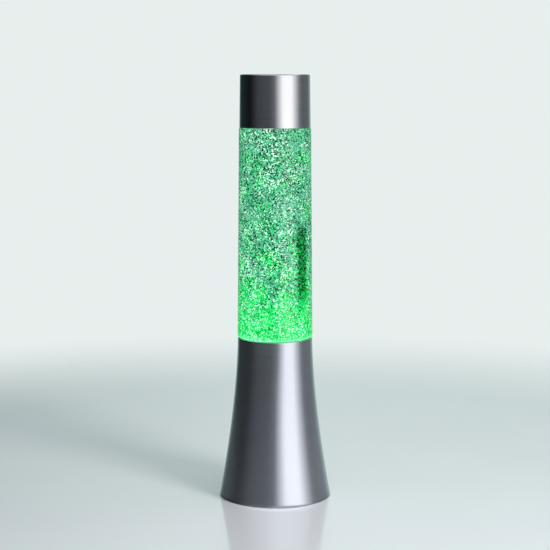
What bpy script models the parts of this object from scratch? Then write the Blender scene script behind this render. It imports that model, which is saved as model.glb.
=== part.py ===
"""Glitter lamp: a flared metal base with battery-powered LEDs, a lift-out bottle and a slip-on cap.

Metres, +Z up. The lamp stands on z = 0 with its axis on the Z axis, and its back faces +Y.
Profiles are lists of (radius, height) in millimetres and are scaled once, by MM.
"""

import math

import bmesh
import bpy
from mathutils import Matrix, Vector

MM = 0.001

# Driving dimensions, in millimetres.
HEIGHT = 395.0
BASE_TOP = 150.9
CAP_SEAM = 345.9
FLARE_RADIUS = 52.5
NECK_RADIUS = 34.9
FLARE_POWER = 1.6
GLASS_LOW_RADIUS = 35.1
GLASS_HIGH_RADIUS = 33.4
CAP_LOW_RADIUS = 32.9
CAP_HIGH_RADIUS = 32.3

# General sizes.
GAP = 0.3
SHEET = 1.0
GLASS_WALL = 2.6
SEGMENTS = 36
SMALL_SEGMENTS = 16

# Base levels, from the table up.
SHELL_BOTTOM = 1.2
PLATE_BOTTOM = 2.2
PLATE_TOP = 4.7
PLATE_RADIUS = 49.4
PLATE_RIM_TOP = 9.0
CONE_BOTTOM = 14.0
DECK_TOP = 106.5
DECK_THICKNESS = 2.2
SOCKET_FLOOR = 134.0
SOCKET_FLOOR_THICKNESS = 1.4
SOCKET_RADIUS = 32.0
SOCKET_BORE = 30.8
FLANGE_RADIUS = 33.5
FLANGE_THICKNESS = 0.6
WINDOW_RADIUS = 24.4
WINDOW_TOP = SOCKET_FLOOR - SOCKET_FLOOR_THICKNESS - GAP
WINDOW_THICKNESS = 1.4

# Bottle levels.
FOOT_RADIUS = 30.4
BOTTLE_BOTTOM = SOCKET_FLOOR + 2.1
HEEL = BASE_TOP + GAP
COLLAR_RADIUS = 31.6
COLLAR_TOP = 352.0
NECK_TUBE_RADIUS = 12.2
NECK_BORE = 9.5
NECK_START = 366.0
MOUTH = 383.0
LIQUID_LEVEL = 372.0

# Fasteners and feet.
SCREW_HOLE = 1.7
BOARD_SCREW_HOLE = 1.3
BOX_SCREW_HOLE = 1.5
BORE_THROUGH = 1.0
FOOT_CIRCLE = 44.0
FOOT_ANGLES = (45, 135, 225, 315)
PLATE_SCREW_CIRCLE = 41.0
PLATE_SCREW_ANGLES = (0, 180, 270)
SOCKET_SCREW_CIRCLE = 26.5
SOCKET_SCREW_ANGLES = (30, 150, 270)
BOARD_SCREW_X = 11.0
BOX_SCREW_X = 30.0

# Batteries.
CELL_RADIUS = 7.05
CELL_LENGTH = 49.0
CELL_PITCH = 15.2
CELL_Z = 12.6
NUB_RADIUS = 2.75
NUB_LENGTH = 1.2
BOX_INSIDE = (47.0, 60.0)
BOX_WALL = 2.0
BOX_BOTTOM = PLATE_TOP + GAP
BOX_TOP = 23.0
BOX_ROOF = 21.4
BOX_EAR_THICKNESS = 2.0
CONTACT_THICKNESS = 0.4
CONTACT_Y = BOX_INSIDE[1] / 2 - GAP - CONTACT_THICKNESS
DOOR_SIZE = (46.4, 60.0)
DOOR_THICKNESS = 1.8
HINGE_Y = -BOX_INSIDE[1] / 2 - 0.15
TAB_X = CELL_PITCH / 2
WIRE_EXIT_Z = 15.0

# Switch.
SWITCH_Y = 39.8
SWITCH_TRAVEL = 3.0
SWITCH_CAN = (11.4, 6.0, 5.0)
KNOB_BOTTOM = PLATE_BOTTOM + 0.4

# LEDs.
LED_CIRCLE = 3.9
LED_ANGLES = (90, 210, 330)
BOARD_RADIUS = 13.5
BOARD_BOTTOM = DECK_TOP + 2.1
BOARD_TOP = BOARD_BOTTOM + 1.6


def clear_scene():
    for obj in list(bpy.data.objects):
        bpy.data.objects.remove(obj, do_unlink=True)


def new_collection(name):
    collection = bpy.data.collections.new(name)
    bpy.context.scene.collection.children.link(collection)
    return collection


clear_scene()
LAMP = new_collection("glitter_lamp")
CUTTERS = new_collection("glitter_lamp_cutters")


def material(name, colour, roughness, metallic=0.0, transmission=0.0, emission=0.0):
    mat = bpy.data.materials.new(name)
    mat.use_nodes = True
    shader = mat.node_tree.nodes["Principled BSDF"]
    shader.inputs["Base Color"].default_value = (*colour, 1.0)
    shader.inputs["Roughness"].default_value = roughness
    shader.inputs["Metallic"].default_value = metallic
    shader.inputs["Transmission Weight"].default_value = transmission
    shader.inputs["Emission Color"].default_value = (*colour, 1.0)
    shader.inputs["Emission Strength"].default_value = emission
    mat.diffuse_color = (*colour, 1.0)
    return mat


SATIN_METAL = ((0.55, 0.56, 0.57), 0.32, 1.0)
STEEL = ((0.62, 0.62, 0.6), 0.3, 1.0)
BLACK_PLASTIC = ((0.02, 0.02, 0.022), 0.45)
WHITE_PLASTIC = ((0.8, 0.8, 0.78), 0.35)


def polar(radius, degrees):
    angle = math.radians(degrees)
    return radius * math.cos(angle), radius * math.sin(angle)


def add_object(name, mesh, look, parent=None):
    """Links a mesh as a named sub-part with a material of its own."""
    obj = bpy.data.objects.new(name, mesh)
    LAMP.objects.link(obj)
    if not mesh.materials:
        mesh.materials.append(material(name, *look))
    obj.parent = parent
    return obj


def place(obj, x, y, z):
    """Puts an object's origin at a world point in millimetres, under its parent if it has one."""
    offset = obj.parent.location if obj.parent else Vector()
    obj.location = Vector((x, y, z)) * MM - offset
    return obj


def group(name, x, y, z):
    """An empty that a moving body's parts hang from."""
    empty = bpy.data.objects.new(name, None)
    empty.location = Vector((x, y, z)) * MM
    LAMP.objects.link(empty)
    return empty


def turned(name, profile, look, parent=None, segments=SEGMENTS):
    """A solid of revolution. A profile that starts and ends on the axis stays open, any other closes."""
    low = min(z for _, z in profile)
    points = [(r * MM, 0.0, (z - low) * MM) for r, z in profile]
    on_axis = profile[0][0] == 0.0 and profile[-1][0] == 0.0
    edges = [(i, i + 1) for i in range(len(points) - 1)]
    if not on_axis:
        edges.append((len(points) - 1, 0))
    mesh = bpy.data.meshes.new(name)
    mesh.from_pydata(points, edges, [])
    obj = add_object(name, mesh, look, parent)
    place(obj, 0, 0, low)
    screw = obj.modifiers.new("Turn", "SCREW")
    screw.steps = segments
    screw.render_steps = segments
    screw.use_merge_vertices = True
    screw.merge_threshold = 0.00001
    screw.use_smooth_shade = True
    return obj


def box_mesh(name, size, low_corner=False, bevel=0.0):
    """A box centred on its origin, or standing on it, with optional rounded edges."""
    mesh = bpy.data.meshes.new(name)
    bm = bmesh.new()
    bmesh.ops.create_cube(bm, size=1.0)
    bmesh.ops.scale(bm, vec=Vector(size) * MM, verts=bm.verts)
    if low_corner:
        bmesh.ops.translate(bm, vec=(0, 0, size[2] * MM / 2), verts=bm.verts)
    if bevel:
        bmesh.ops.bevel(bm, geom=bm.edges[:], offset=bevel * MM, segments=2, affect="EDGES", profile=0.5)
    bm.to_mesh(mesh)
    bm.free()
    return mesh


def cylinders_mesh(name, bars, segments=SMALL_SEGMENTS):
    """One mesh of upright cylinders, each given as (x, y, radius, low z, high z) in millimetres."""
    mesh = bpy.data.meshes.new(name)
    bm = bmesh.new()
    for x, y, radius, low, high in bars:
        matrix = Matrix.Translation(Vector((x, y, (low + high) / 2)) * MM)
        bmesh.ops.create_cone(
            bm,
            cap_ends=True,
            segments=segments,
            radius1=radius * MM,
            radius2=radius * MM,
            depth=(high - low) * MM,
            matrix=matrix,
        )
    bm.to_mesh(mesh)
    bm.free()
    return mesh


def shifted(mesh, y):
    """Moves a mesh off its origin, so that the object's origin can sit on a joint's axis."""
    mesh.transform(Matrix.Translation((0.0, y * MM, 0.0)))
    return mesh


def helper(mesh, x=0.0, y=0.0, z=0.0):
    """A cutter or a guide: seen as a wire, never rendered, not a sub-part."""
    obj = bpy.data.objects.new(mesh.name, mesh)
    obj.hide_render = True
    obj.display_type = "WIRE"
    obj.location = Vector((x, y, z)) * MM
    CUTTERS.objects.link(obj)
    return obj


def boolean(obj, other, operation):
    modifier = obj.modifiers.new(operation.title(), "BOOLEAN")
    modifier.operation = operation
    modifier.object = other
    modifier.solver = "EXACT"
    return obj


def cut(obj, other):
    return boolean(obj, other, "DIFFERENCE")


def join(obj, other):
    return boolean(obj, other, "UNION")


def smooth_route(points, steps):
    """Points along a smooth curve through the route's own points (Catmull-Rom)."""
    ends = [points[0] * 2 - points[1]] + points + [points[-1] * 2 - points[-2]]
    route = []
    for a, b, c, d in zip(ends, ends[1:], ends[2:], ends[3:]):
        for step in range(steps):
            t = step / steps
            straight = b * 2 + (c - a) * t
            bend = (a * 2 - b * 5 + c * 4 - d) * t**2
            twist = (b * 3 - a - c * 3 + d) * t**3
            route.append((straight + bend + twist) * 0.5)
    route.append(points[-1])
    return route


def tube(name, route, radius, look):
    """A wire: a poly curve with a round bevel and closed ends."""
    curve = bpy.data.curves.new(name, "CURVE")
    curve.dimensions = "3D"
    curve.bevel_depth = radius * MM
    curve.bevel_resolution = 1
    curve.use_fill_caps = True
    spline = curve.splines.new("POLY")
    spline.points.add(len(route) - 1)
    start = route[0]
    for point, position in zip(spline.points, route):
        point.co = (*((position - start) * MM), 1.0)
    curve.materials.append(material(name, *look))
    obj = bpy.data.objects.new(name, curve)
    obj.location = start * MM
    LAMP.objects.link(obj)
    return obj


# Base shell and the parts that carry the bottle.


def flare(z):
    """The base shell's outer radius at a height."""
    share = max(0.0, (BASE_TOP - z) / BASE_TOP)
    return NECK_RADIUS + (FLARE_RADIUS - NECK_RADIUS) * share**FLARE_POWER


def build_base_shell():
    """Spun shell: a rolled rim with a ledge inside it for the socket, a long flare, a hemmed edge."""
    ledge = BASE_TOP - FLANGE_THICKNESS - GAP
    ledge_bore = SOCKET_RADIUS + GAP
    recess = FLANGE_RADIUS + GAP
    rim_round = 0.5
    hem_width = 2.0
    hem_round = 0.5
    hem_top = 4.0
    inside_top = ledge - 1.8
    outer_steps = 10
    inner_steps = 5
    outside = [
        (ledge_bore, ledge),
        (recess, ledge),
        (recess, BASE_TOP - rim_round / 2),
        (recess + rim_round / 2, BASE_TOP),
        (NECK_RADIUS - rim_round / 2, BASE_TOP),
    ]
    start = BASE_TOP - rim_round
    end = SHELL_BOTTOM + hem_round
    for step in range(outer_steps + 1):
        z = start + (end - start) * step / outer_steps
        outside.append((flare(z), z))
    foot = flare(SHELL_BOTTOM)
    hem = [
        (foot - hem_round, SHELL_BOTTOM),
        (foot - hem_width + hem_round, SHELL_BOTTOM),
        (foot - hem_width, end),
        (flare(hem_top) - hem_width, hem_top),
    ]
    inside = []
    for step in range(inner_steps + 1):
        z = hem_top + SHEET + (inside_top - hem_top - SHEET) * step / inner_steps
        inside.append((flare(z) - SHEET, z))
    inside.append((inside[-1][0] - 0.6, ledge - SHEET))
    inside.append((ledge_bore, ledge - SHEET))
    return turned("base_shell", outside + hem + inside, SATIN_METAL)


def build_bottle_socket():
    """Cup in the neck: its flange pulls the shell down, its bore holds the bottle's foot."""
    skirt_bottom = DECK_TOP + GAP
    skirt_wall = 1.4
    floor_bottom = SOCKET_FLOOR - SOCKET_FLOOR_THICKNESS
    light_hole = 22.0
    lead_in = 0.4
    profile = [
        (SOCKET_BORE + lead_in, BASE_TOP),
        (FLANGE_RADIUS, BASE_TOP),
        (FLANGE_RADIUS, BASE_TOP - FLANGE_THICKNESS),
        (SOCKET_RADIUS, BASE_TOP - FLANGE_THICKNESS),
        (SOCKET_RADIUS, skirt_bottom),
        (SOCKET_RADIUS - skirt_wall, skirt_bottom),
        (SOCKET_RADIUS - skirt_wall, floor_bottom),
        (light_hole, floor_bottom),
        (light_hole, SOCKET_FLOOR),
        (SOCKET_BORE, SOCKET_FLOOR),
        (SOCKET_BORE, BASE_TOP - lead_in),
    ]
    socket = turned("bottle_socket", profile, BLACK_PLASTIC)
    boss_radius = 4.6
    boss_height = 12.0
    pilot_radius = 1.6
    pilot_height = 10.8
    bosses = []
    pilots = []
    for degrees in SOCKET_SCREW_ANGLES:
        x, y = polar(SOCKET_SCREW_CIRCLE, degrees)
        bosses.append((x, y, boss_radius, skirt_bottom, skirt_bottom + boss_height))
        pilots.append((x, y, pilot_radius, skirt_bottom - BORE_THROUGH, skirt_bottom + pilot_height))
    join(socket, helper(cylinders_mesh("socket_bosses", bosses)))
    return cut(socket, helper(cylinders_mesh("socket_pilots", pilots)))


def build_inner_cone():
    """Moulded core that ties the socket to the bottom plate and carries the LED board."""
    wall = 1.8
    deck_hole = 6.5
    low_radius = 44.6
    deck_bottom = DECK_TOP - DECK_THICKNESS
    under_deck = deck_bottom - BORE_THROUGH
    profile = [
        (deck_hole, DECK_TOP),
        (SOCKET_BORE, DECK_TOP),
        (low_radius, CONE_BOTTOM),
        (low_radius - wall, CONE_BOTTOM),
        (SOCKET_BORE - wall + 0.2, deck_bottom),
        (deck_hole, deck_bottom),
    ]
    cone = turned("inner_cone", profile, BLACK_PLASTIC)
    plate_boss = (4.0, PLATE_TOP + GAP, 24.0)
    plate_pilot = (SCREW_HOLE, PLATE_TOP, 19.0)
    board_boss = (2.4, DECK_TOP - BORE_THROUGH, BOARD_BOTTOM - GAP)
    board_pilot = (BOARD_SCREW_HOLE, under_deck, BOARD_BOTTOM)
    socket_hole = (SCREW_HOLE, under_deck, DECK_TOP + BORE_THROUGH)
    bosses = []
    holes = []
    for degrees in PLATE_SCREW_ANGLES:
        centre = polar(PLATE_SCREW_CIRCLE, degrees)
        bosses.append((*centre, *plate_boss))
        holes.append((*centre, *plate_pilot))
    for side in (-1, 1):
        centre = (side * BOARD_SCREW_X, 0.0)
        bosses.append((*centre, *board_boss))
        holes.append((*centre, *board_pilot))
    for degrees in SOCKET_SCREW_ANGLES:
        holes.append((*polar(SOCKET_SCREW_CIRCLE, degrees), *socket_hole))
    join(cone, helper(cylinders_mesh("cone_bosses", bosses)))
    return cut(cone, helper(cylinders_mesh("cone_holes", holes)))


def build_cushion_ring():
    low = SOCKET_FLOOR + GAP
    high = BOTTLE_BOTTOM - GAP
    inner = 23.0
    outer = 29.4
    chamfer = 0.4
    profile = [
        (inner + chamfer, high),
        (outer - chamfer, high),
        (outer, high - chamfer),
        (outer, low),
        (inner, low),
        (inner, high - chamfer),
    ]
    return turned("cushion_ring", profile, ((0.04, 0.04, 0.04), 0.8))


# Light unit.


def build_light_window():
    low = WINDOW_TOP - WINDOW_THICKNESS
    profile = [(0.0, WINDOW_TOP), (WINDOW_RADIUS, WINDOW_TOP), (WINDOW_RADIUS, low), (0.0, low)]
    return turned("light_window", profile, ((0.85, 0.95, 0.88), 0.4, 0.0, 0.6))


def build_reflector():
    """Cup round the LEDs: a short collar on the board, a cone and a rim under the window."""
    top = WINDOW_TOP - WINDOW_THICKNESS - GAP
    low = BOARD_TOP + GAP
    rim = 0.8
    mouth = WINDOW_RADIUS - 1.6
    collar = 7.2
    collar_height = 1.5
    wall = 1.4
    profile = [
        (mouth, top),
        (WINDOW_RADIUS, top),
        (WINDOW_RADIUS, top - rim),
        (WINDOW_RADIUS - 1.2, top - rim),
        (collar + wall, low + collar_height),
        (collar + wall, low),
        (collar, low),
        (collar, low + collar_height + 0.4),
    ]
    return turned("reflector", profile, ((0.85, 0.85, 0.85), 0.15, 0.9))


def build_led_board():
    profile = [
        (0.0, BOARD_TOP),
        (BOARD_RADIUS, BOARD_TOP),
        (BOARD_RADIUS, BOARD_BOTTOM),
        (0.0, BOARD_BOTTOM),
    ]
    board = turned("led_board", profile, ((0.75, 0.78, 0.74), 0.4))
    span = (BOARD_SCREW_HOLE, BOARD_BOTTOM - BORE_THROUGH, BOARD_TOP + BORE_THROUGH)
    holes = [(side * BOARD_SCREW_X, 0.0, *span) for side in (-1, 1)]
    return cut(board, helper(cylinders_mesh("board_holes", holes)))


def build_leds():
    """Three domed LEDs on a small circle in the middle of the board."""
    low = BOARD_TOP + GAP
    lens_radius = 2.5
    flange_radius = 2.8
    flange_height = 1.0
    dome_start = 5.5
    dome_steps = 4
    profile = [(0.0, dome_start + lens_radius)]
    for step in range(1, dome_steps + 1):
        angle = step / dome_steps * math.pi / 2
        profile.append((lens_radius * math.sin(angle), dome_start + lens_radius * math.cos(angle)))
    profile += [(lens_radius, flange_height), (flange_radius, flange_height)]
    profile += [(flange_radius, 0.0), (0.0, 0.0)]
    first = turned("led_1", profile, ((0.15, 0.95, 0.35), 0.2, 0.0, 0.4, 3.0), segments=SMALL_SEGMENTS)
    for number, degrees in enumerate(LED_ANGLES, start=1):
        led = first if number == 1 else first.copy()
        led.name = f"led_{number}"
        if number > 1:
            LAMP.objects.link(led)
        place(led, *polar(LED_CIRCLE, degrees), low)


def build_resistor():
    """Axial resistor under the board, lying along X in the deck's hole."""
    body = 1.1
    lead = 0.35
    half_body = 3.1
    half_length = 5.0
    profile = [
        (0.0, half_length),
        (lead, half_length),
        (lead, half_body),
        (body * 0.9, half_body),
        (body, half_body - 0.6),
    ]
    profile += [(r, -z) for r, z in reversed(profile)]
    resistor = turned("resistor", profile, ((0.35, 0.55, 0.7), 0.4), segments=12)
    resistor.rotation_euler = (0.0, math.radians(90), 0.0)
    return place(resistor, -half_length, 0.0, BOARD_BOTTOM - GAP - body)


# Bottom plate, batteries, door and switch.


def build_bottom_plate():
    """Moulded plate with a raised rim, the battery opening, a slot for the switch and screw recesses."""
    rim = 1.8
    edge_round = 0.5
    profile = [
        (0.0, PLATE_TOP),
        (PLATE_RADIUS - rim, PLATE_TOP),
        (PLATE_RADIUS - rim, PLATE_RIM_TOP),
        (PLATE_RADIUS, PLATE_RIM_TOP),
        (PLATE_RADIUS, PLATE_BOTTOM + edge_round),
        (PLATE_RADIUS - edge_round, PLATE_BOTTOM),
        (0.0, PLATE_BOTTOM),
    ]
    plate = turned("bottom_plate", profile, BLACK_PLASTIC)
    middle = (PLATE_BOTTOM + PLATE_TOP) / 2
    depth = 6.0
    opening = (DOOR_SIZE[0] + 2 * GAP, DOOR_SIZE[1] + 2 * GAP, depth)
    tongue_notch = (11.0, 8.0, depth)
    switch_slot = (8.2, 3.4, depth)
    cut(plate, helper(box_mesh("door_opening", opening), 0, 0, middle))
    cut(plate, helper(box_mesh("door_tongue_notch", tongue_notch), 0, opening[1] / 2, middle))
    cut(plate, helper(box_mesh("switch_slot", switch_slot), 0, SWITCH_Y, middle))
    screw_hole = (1.8, PLATE_BOTTOM, PLATE_TOP + BORE_THROUGH)
    recess = (3.6, PLATE_BOTTOM - BORE_THROUGH, PLATE_BOTTOM + 1.4)
    box_pilot = (BOX_SCREW_HOLE, PLATE_BOTTOM + 0.7, PLATE_TOP + BORE_THROUGH)
    holes = [(*polar(PLATE_SCREW_CIRCLE, degrees), *screw_hole) for degrees in PLATE_SCREW_ANGLES]
    holes += [(side * BOX_SCREW_X, 0.0, *box_pilot) for side in (-1, 1)]
    recesses = [(*polar(PLATE_SCREW_CIRCLE, degrees), *recess) for degrees in PLATE_SCREW_ANGLES]
    cut(plate, helper(cylinders_mesh("plate_recesses", recesses)))
    return cut(plate, helper(cylinders_mesh("plate_holes", holes)))


def build_battery_box():
    """Tray that opens downwards, with ribs between the cells and an ear on each side."""
    outside = (BOX_INSIDE[0] + 2 * BOX_WALL, BOX_INSIDE[1] + 2 * BOX_WALL, BOX_TOP - BOX_BOTTOM)
    mesh = box_mesh("battery_box", outside, low_corner=True)
    box = place(add_object("battery_box", mesh, BLACK_PLASTIC), 0, 0, BOX_BOTTOM)
    ears = (2 * (BOX_SCREW_X + 4.5), 8.0, BOX_EAR_THICKNESS)
    join(box, helper(box_mesh("box_ears", ears, low_corner=True), 0, 0, BOX_BOTTOM))
    below = 5.0
    inside = (*BOX_INSIDE, BOX_ROOF - BOX_BOTTOM + below)
    cut(box, helper(box_mesh("box_inside", inside, low_corner=True), 0, 0, BOX_BOTTOM - below))
    bite = 0.6
    rib = (1.0, BOX_INSIDE[1] + 1.0, 4.5)
    notch = (6.0, 4.0, 5.0)
    wire_hole_radius = 1.4
    for side in (-1, 1):
        x = side * CELL_PITCH / 2
        join(box, helper(box_mesh("box_rib", rib, low_corner=True), x, 0, BOX_ROOF - rib[2] + bite))
        cut(box, helper(box_mesh("tab_notch", notch), side * TAB_X, HINGE_Y - 1.0, BOX_BOTTOM + 1.5))
        wire_hole = helper(cylinders_mesh("wire_hole", [(0, 0, wire_hole_radius, -3.0, 3.0)], 12))
        wire_hole.rotation_euler = (math.radians(90), 0.0, 0.0)
        place(wire_hole, -side * CELL_PITCH, side * (BOX_INSIDE[1] + BOX_WALL) / 2, WIRE_EXIT_Z)
        cut(box, wire_hole)
    ear_top = BOX_BOTTOM + BOX_EAR_THICKNESS
    ear_hole = (BOX_SCREW_HOLE, BOX_BOTTOM - BORE_THROUGH, ear_top + BORE_THROUGH)
    holes = [(side * BOX_SCREW_X, 0.0, *ear_hole) for side in (-1, 1)]
    return cut(box, helper(cylinders_mesh("ear_holes", holes)))


def build_cells():
    """Three AA cells side by side, the middle one turned round."""
    nub_top = CELL_LENGTH + NUB_LENGTH
    profile = [
        (0.0, nub_top),
        (NUB_RADIUS, nub_top),
        (NUB_RADIUS, CELL_LENGTH),
        (CELL_RADIUS - 0.5, CELL_LENGTH),
        (CELL_RADIUS, CELL_LENGTH - 0.5),
        (CELL_RADIUS, 0.5),
        (CELL_RADIUS - 0.5, 0.0),
        (0.0, 0.0),
    ]
    first = turned("cell_1", profile, ((0.12, 0.35, 0.18), 0.35, 0.2), segments=20)
    start = CONTACT_Y - GAP - nub_top
    for number, way in enumerate((1, -1, 1), start=1):
        cell = first if number == 1 else first.copy()
        cell.name = f"cell_{number}"
        if number > 1:
            LAMP.objects.link(cell)
        cell.rotation_euler = (math.radians(-90 * way), 0.0, 0.0)
        place(cell, (number - 2) * CELL_PITCH, way * start, CELL_Z)


def build_springs():
    """A conical spring behind each cell's flat end."""
    wire_radius = 0.4
    wide = 4.6
    narrow = 3.2
    turns = 3
    steps = turns * 9
    low = CONTACT_Y - GAP - wire_radius
    high = CELL_LENGTH + NUB_LENGTH - CONTACT_Y + 2 * GAP + wire_radius
    for number, way in enumerate((1, -1, 1), start=1):
        centre_x = (number - 2) * CELL_PITCH
        route = []
        for i in range(steps + 1):
            share = i / steps
            angle = share * turns * math.tau
            radius = wide + (narrow - wide) * share
            y = low + (high - low) * share
            x = centre_x + radius * math.cos(angle)
            route.append(Vector((x, -way * y, CELL_Z + radius * math.sin(angle))))
        tube(f"cell_spring_{number}", route, wire_radius, STEEL)


def build_contacts():
    """Contact plates: a single one at each end of the series, and two that bridge a pair of cells."""
    half = 5.3
    height = 8.2
    middle = 13.1
    spans = (
        (-CELL_PITCH - half, -CELL_PITCH + half, 1),
        (-CELL_PITCH - half, half, -1),
        (-half, CELL_PITCH + half, 1),
        (CELL_PITCH - half, CELL_PITCH + half, -1),
    )
    for number, (low, high, side) in enumerate(spans, start=1):
        mesh = box_mesh(f"contact_plate_{number}", (high - low, CONTACT_THICKNESS, height))
        contact = add_object(f"contact_plate_{number}", mesh, STEEL)
        place(contact, (low + high) / 2, side * (CONTACT_Y + CONTACT_THICKNESS / 2), middle)


def build_battery_door():
    """Flush cover that pivots on two tabs hooked over the plate's edge, with a finger tongue."""
    hinge = group("battery_door_hinge", 0, HINGE_Y, PLATE_BOTTOM)
    mesh = box_mesh("battery_door", (*DOOR_SIZE, DOOR_THICKNESS), low_corner=True)
    door = add_object("battery_door", shifted(mesh, -HINGE_Y), BLACK_PLASTIC, hinge)
    place(door, 0, HINGE_Y, PLATE_BOTTOM)
    front = -DOOR_SIZE[1] / 2
    back = DOOR_SIZE[1] / 2
    arm = (4.4, 4.0, 3.6)
    lip = (4.4, 6.2, 1.2)
    tongue = (10.0, 6.0, 1.4)
    arm_low = PLATE_BOTTOM + 0.4
    for side in (-1, 1):
        x = side * TAB_X
        join(door, helper(box_mesh("door_arm", arm, low_corner=True), x, front + 2.0, arm_low))
        join(door, helper(box_mesh("door_lip", lip, low_corner=True), x, front + 0.3, BOX_BOTTOM))
    join(door, helper(box_mesh("door_tongue", tongue, low_corner=True), 0, back + 0.6, PLATE_BOTTOM))
    grooves = 5
    groove = (14.0, 0.8, 1.0)
    groove_pitch = 1.8
    for index in range(grooves):
        y = back - 12.0 + groove_pitch * index
        cut(door, helper(box_mesh("door_groove", groove), 0, y, PLATE_BOTTOM))
    return door


def build_switch():
    """Slide switch: a steel can over the plate's slot and a knob that reaches down through it."""
    can_low = PLATE_TOP + GAP
    cavity = (7.4, 2.8, 4.0)
    mesh = box_mesh("switch_body", SWITCH_CAN, low_corner=True)
    body = place(add_object("switch_body", mesh, STEEL), 0, SWITCH_Y, can_low)
    cut(body, helper(box_mesh("switch_cavity", cavity), 0, SWITCH_Y, can_low))
    rest_x = -SWITCH_TRAVEL / 2
    slide = group("switch_slide", rest_x, SWITCH_Y, KNOB_BOTTOM)
    stem = (3.2, 2.0, can_low + 1.6 - KNOB_BOTTOM)
    pad = (3.8, 2.7, 1.4)
    knob = add_object("switch_knob", box_mesh("switch_knob", stem, low_corner=True), WHITE_PLASTIC, slide)
    place(knob, rest_x, SWITCH_Y, KNOB_BOTTOM)
    return join(knob, helper(box_mesh("switch_pad", pad, low_corner=True), rest_x, SWITCH_Y, KNOB_BOTTOM))


def build_wires():
    """Leads: battery to switch, switch to board and board back to battery."""
    exit_x = CELL_PITCH
    back = BOX_INSIDE[1] / 2
    switch_top = PLATE_TOP + GAP + SWITCH_CAN[2] + GAP
    board_low = BOARD_BOTTOM - GAP
    to_switch = [
        (-exit_x, back, WIRE_EXIT_Z),
        (-exit_x, 33.6, WIRE_EXIT_Z),
        (-10.5, 38.5, 16.8),
        (-4.0, 40.0, 14.5),
        (-3.0, SWITCH_Y, switch_top),
    ]
    to_board = [
        (3.0, SWITCH_Y, switch_top),
        (3.2, 39.0, 17.0),
        (3.0, 36.0, 32.0),
        (2.0, 26.0, 60.0),
        (0.5, 10.0, 92.0),
        (0.0, 4.5, board_low),
    ]
    to_battery = [
        (exit_x, -back, WIRE_EXIT_Z),
        (exit_x, -33.8, WIRE_EXIT_Z + 0.6),
        (12.0, -34.0, 30.0),
        (6.0, -24.0, 60.0),
        (1.0, -9.0, 92.0),
        (0.0, -4.5, board_low),
    ]
    red = (0.6, 0.03, 0.02)
    black = (0.02, 0.02, 0.02)
    leads = (
        ("wire_battery", to_switch, red),
        ("wire_switch", to_board, red),
        ("wire_return", to_battery, black),
    )
    for name, route, colour in leads:
        tube(name, smooth_route([Vector(point) for point in route], 4), 0.7, (colour, 0.5))


# Screws and feet.


def screw(name, head, shaft, length, points_up=True):
    """A pan-head screw with a slot. The head starts at the origin and the shaft runs away from it."""
    head_radius, head_height = head
    edge = 0.5
    tip = 1.2
    profile = [
        (0.0, length),
        (shaft * 0.5, length),
        (shaft, length - tip),
        (shaft, head_height),
        (head_radius, head_height),
        (head_radius, edge),
        (head_radius - edge, 0.0),
        (0.0, 0.0),
    ]
    obj = turned(name, profile, STEEL, segments=12)
    slot = helper(box_mesh(f"{name}_slot", (2 * head_radius, 0.7, 1.0)))
    slot.parent = obj
    cut(obj, slot)
    if not points_up:
        obj.rotation_euler = (math.pi, 0.0, 0.0)
    return obj


def build_screws():
    """Screws for the bottom plate, the socket, the LED board and the battery box."""
    for number, degrees in enumerate(PLATE_SCREW_ANGLES, start=1):
        plate_screw = screw(f"plate_screw_{number}", head=(3.0, 1.0), shaft=1.4, length=14.5)
        place(plate_screw, *polar(PLATE_SCREW_CIRCLE, degrees), PLATE_BOTTOM + 0.1)
    small_head = (2.4, 1.3)
    under_deck = DECK_TOP - DECK_THICKNESS - GAP - small_head[1]
    for number, degrees in enumerate(SOCKET_SCREW_ANGLES, start=1):
        socket_screw = screw(f"socket_screw_{number}", small_head, shaft=1.3, length=14.0)
        place(socket_screw, *polar(SOCKET_SCREW_CIRCLE, degrees), under_deck)
    board_head = (1.9, 1.1)
    over_board = BOARD_TOP + GAP + board_head[1]
    over_ear = BOX_BOTTOM + BOX_EAR_THICKNESS + GAP + small_head[1]
    for number, side in enumerate((-1, 1), start=1):
        board_screw = screw(f"board_screw_{number}", board_head, 1.0, 6.0, points_up=False)
        place(board_screw, side * BOARD_SCREW_X, 0.0, over_board)
        box_screw = screw(f"box_screw_{number}", small_head, 1.2, 5.2, points_up=False)
        place(box_screw, side * BOX_SCREW_X, 0.0, over_ear)


def build_feet():
    """Four rubber feet stuck under the bottom plate, which lift the shell clear of the table."""
    top = PLATE_BOTTOM - GAP
    radius = 4.8
    edge = 0.5
    profile = [(0.0, top), (radius, top), (radius, edge), (radius - edge, 0.0), (0.0, 0.0)]
    first = turned("rubber_foot_1", profile, ((0.03, 0.03, 0.03), 0.85), segments=SMALL_SEGMENTS)
    for number, degrees in enumerate(FOOT_ANGLES, start=1):
        foot = first if number == 1 else first.copy()
        foot.name = f"rubber_foot_{number}"
        if number > 1:
            LAMP.objects.link(foot)
        place(foot, *polar(FOOT_CIRCLE, degrees), 0.0)


# Bottle and cap.


def shoulder(low, high, steps):
    """Points of a quarter ellipse from a vertical wall at low up and in to a neck at high."""
    (low_r, low_z), (high_r, high_z) = low, high
    points = []
    for step in range(1, steps + 1):
        angle = step / steps * math.pi / 2
        radius = high_r + (low_r - high_r) * math.cos(angle)
        points.append((radius, low_z + (high_z - low_z) * math.sin(angle)))
    return points


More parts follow.
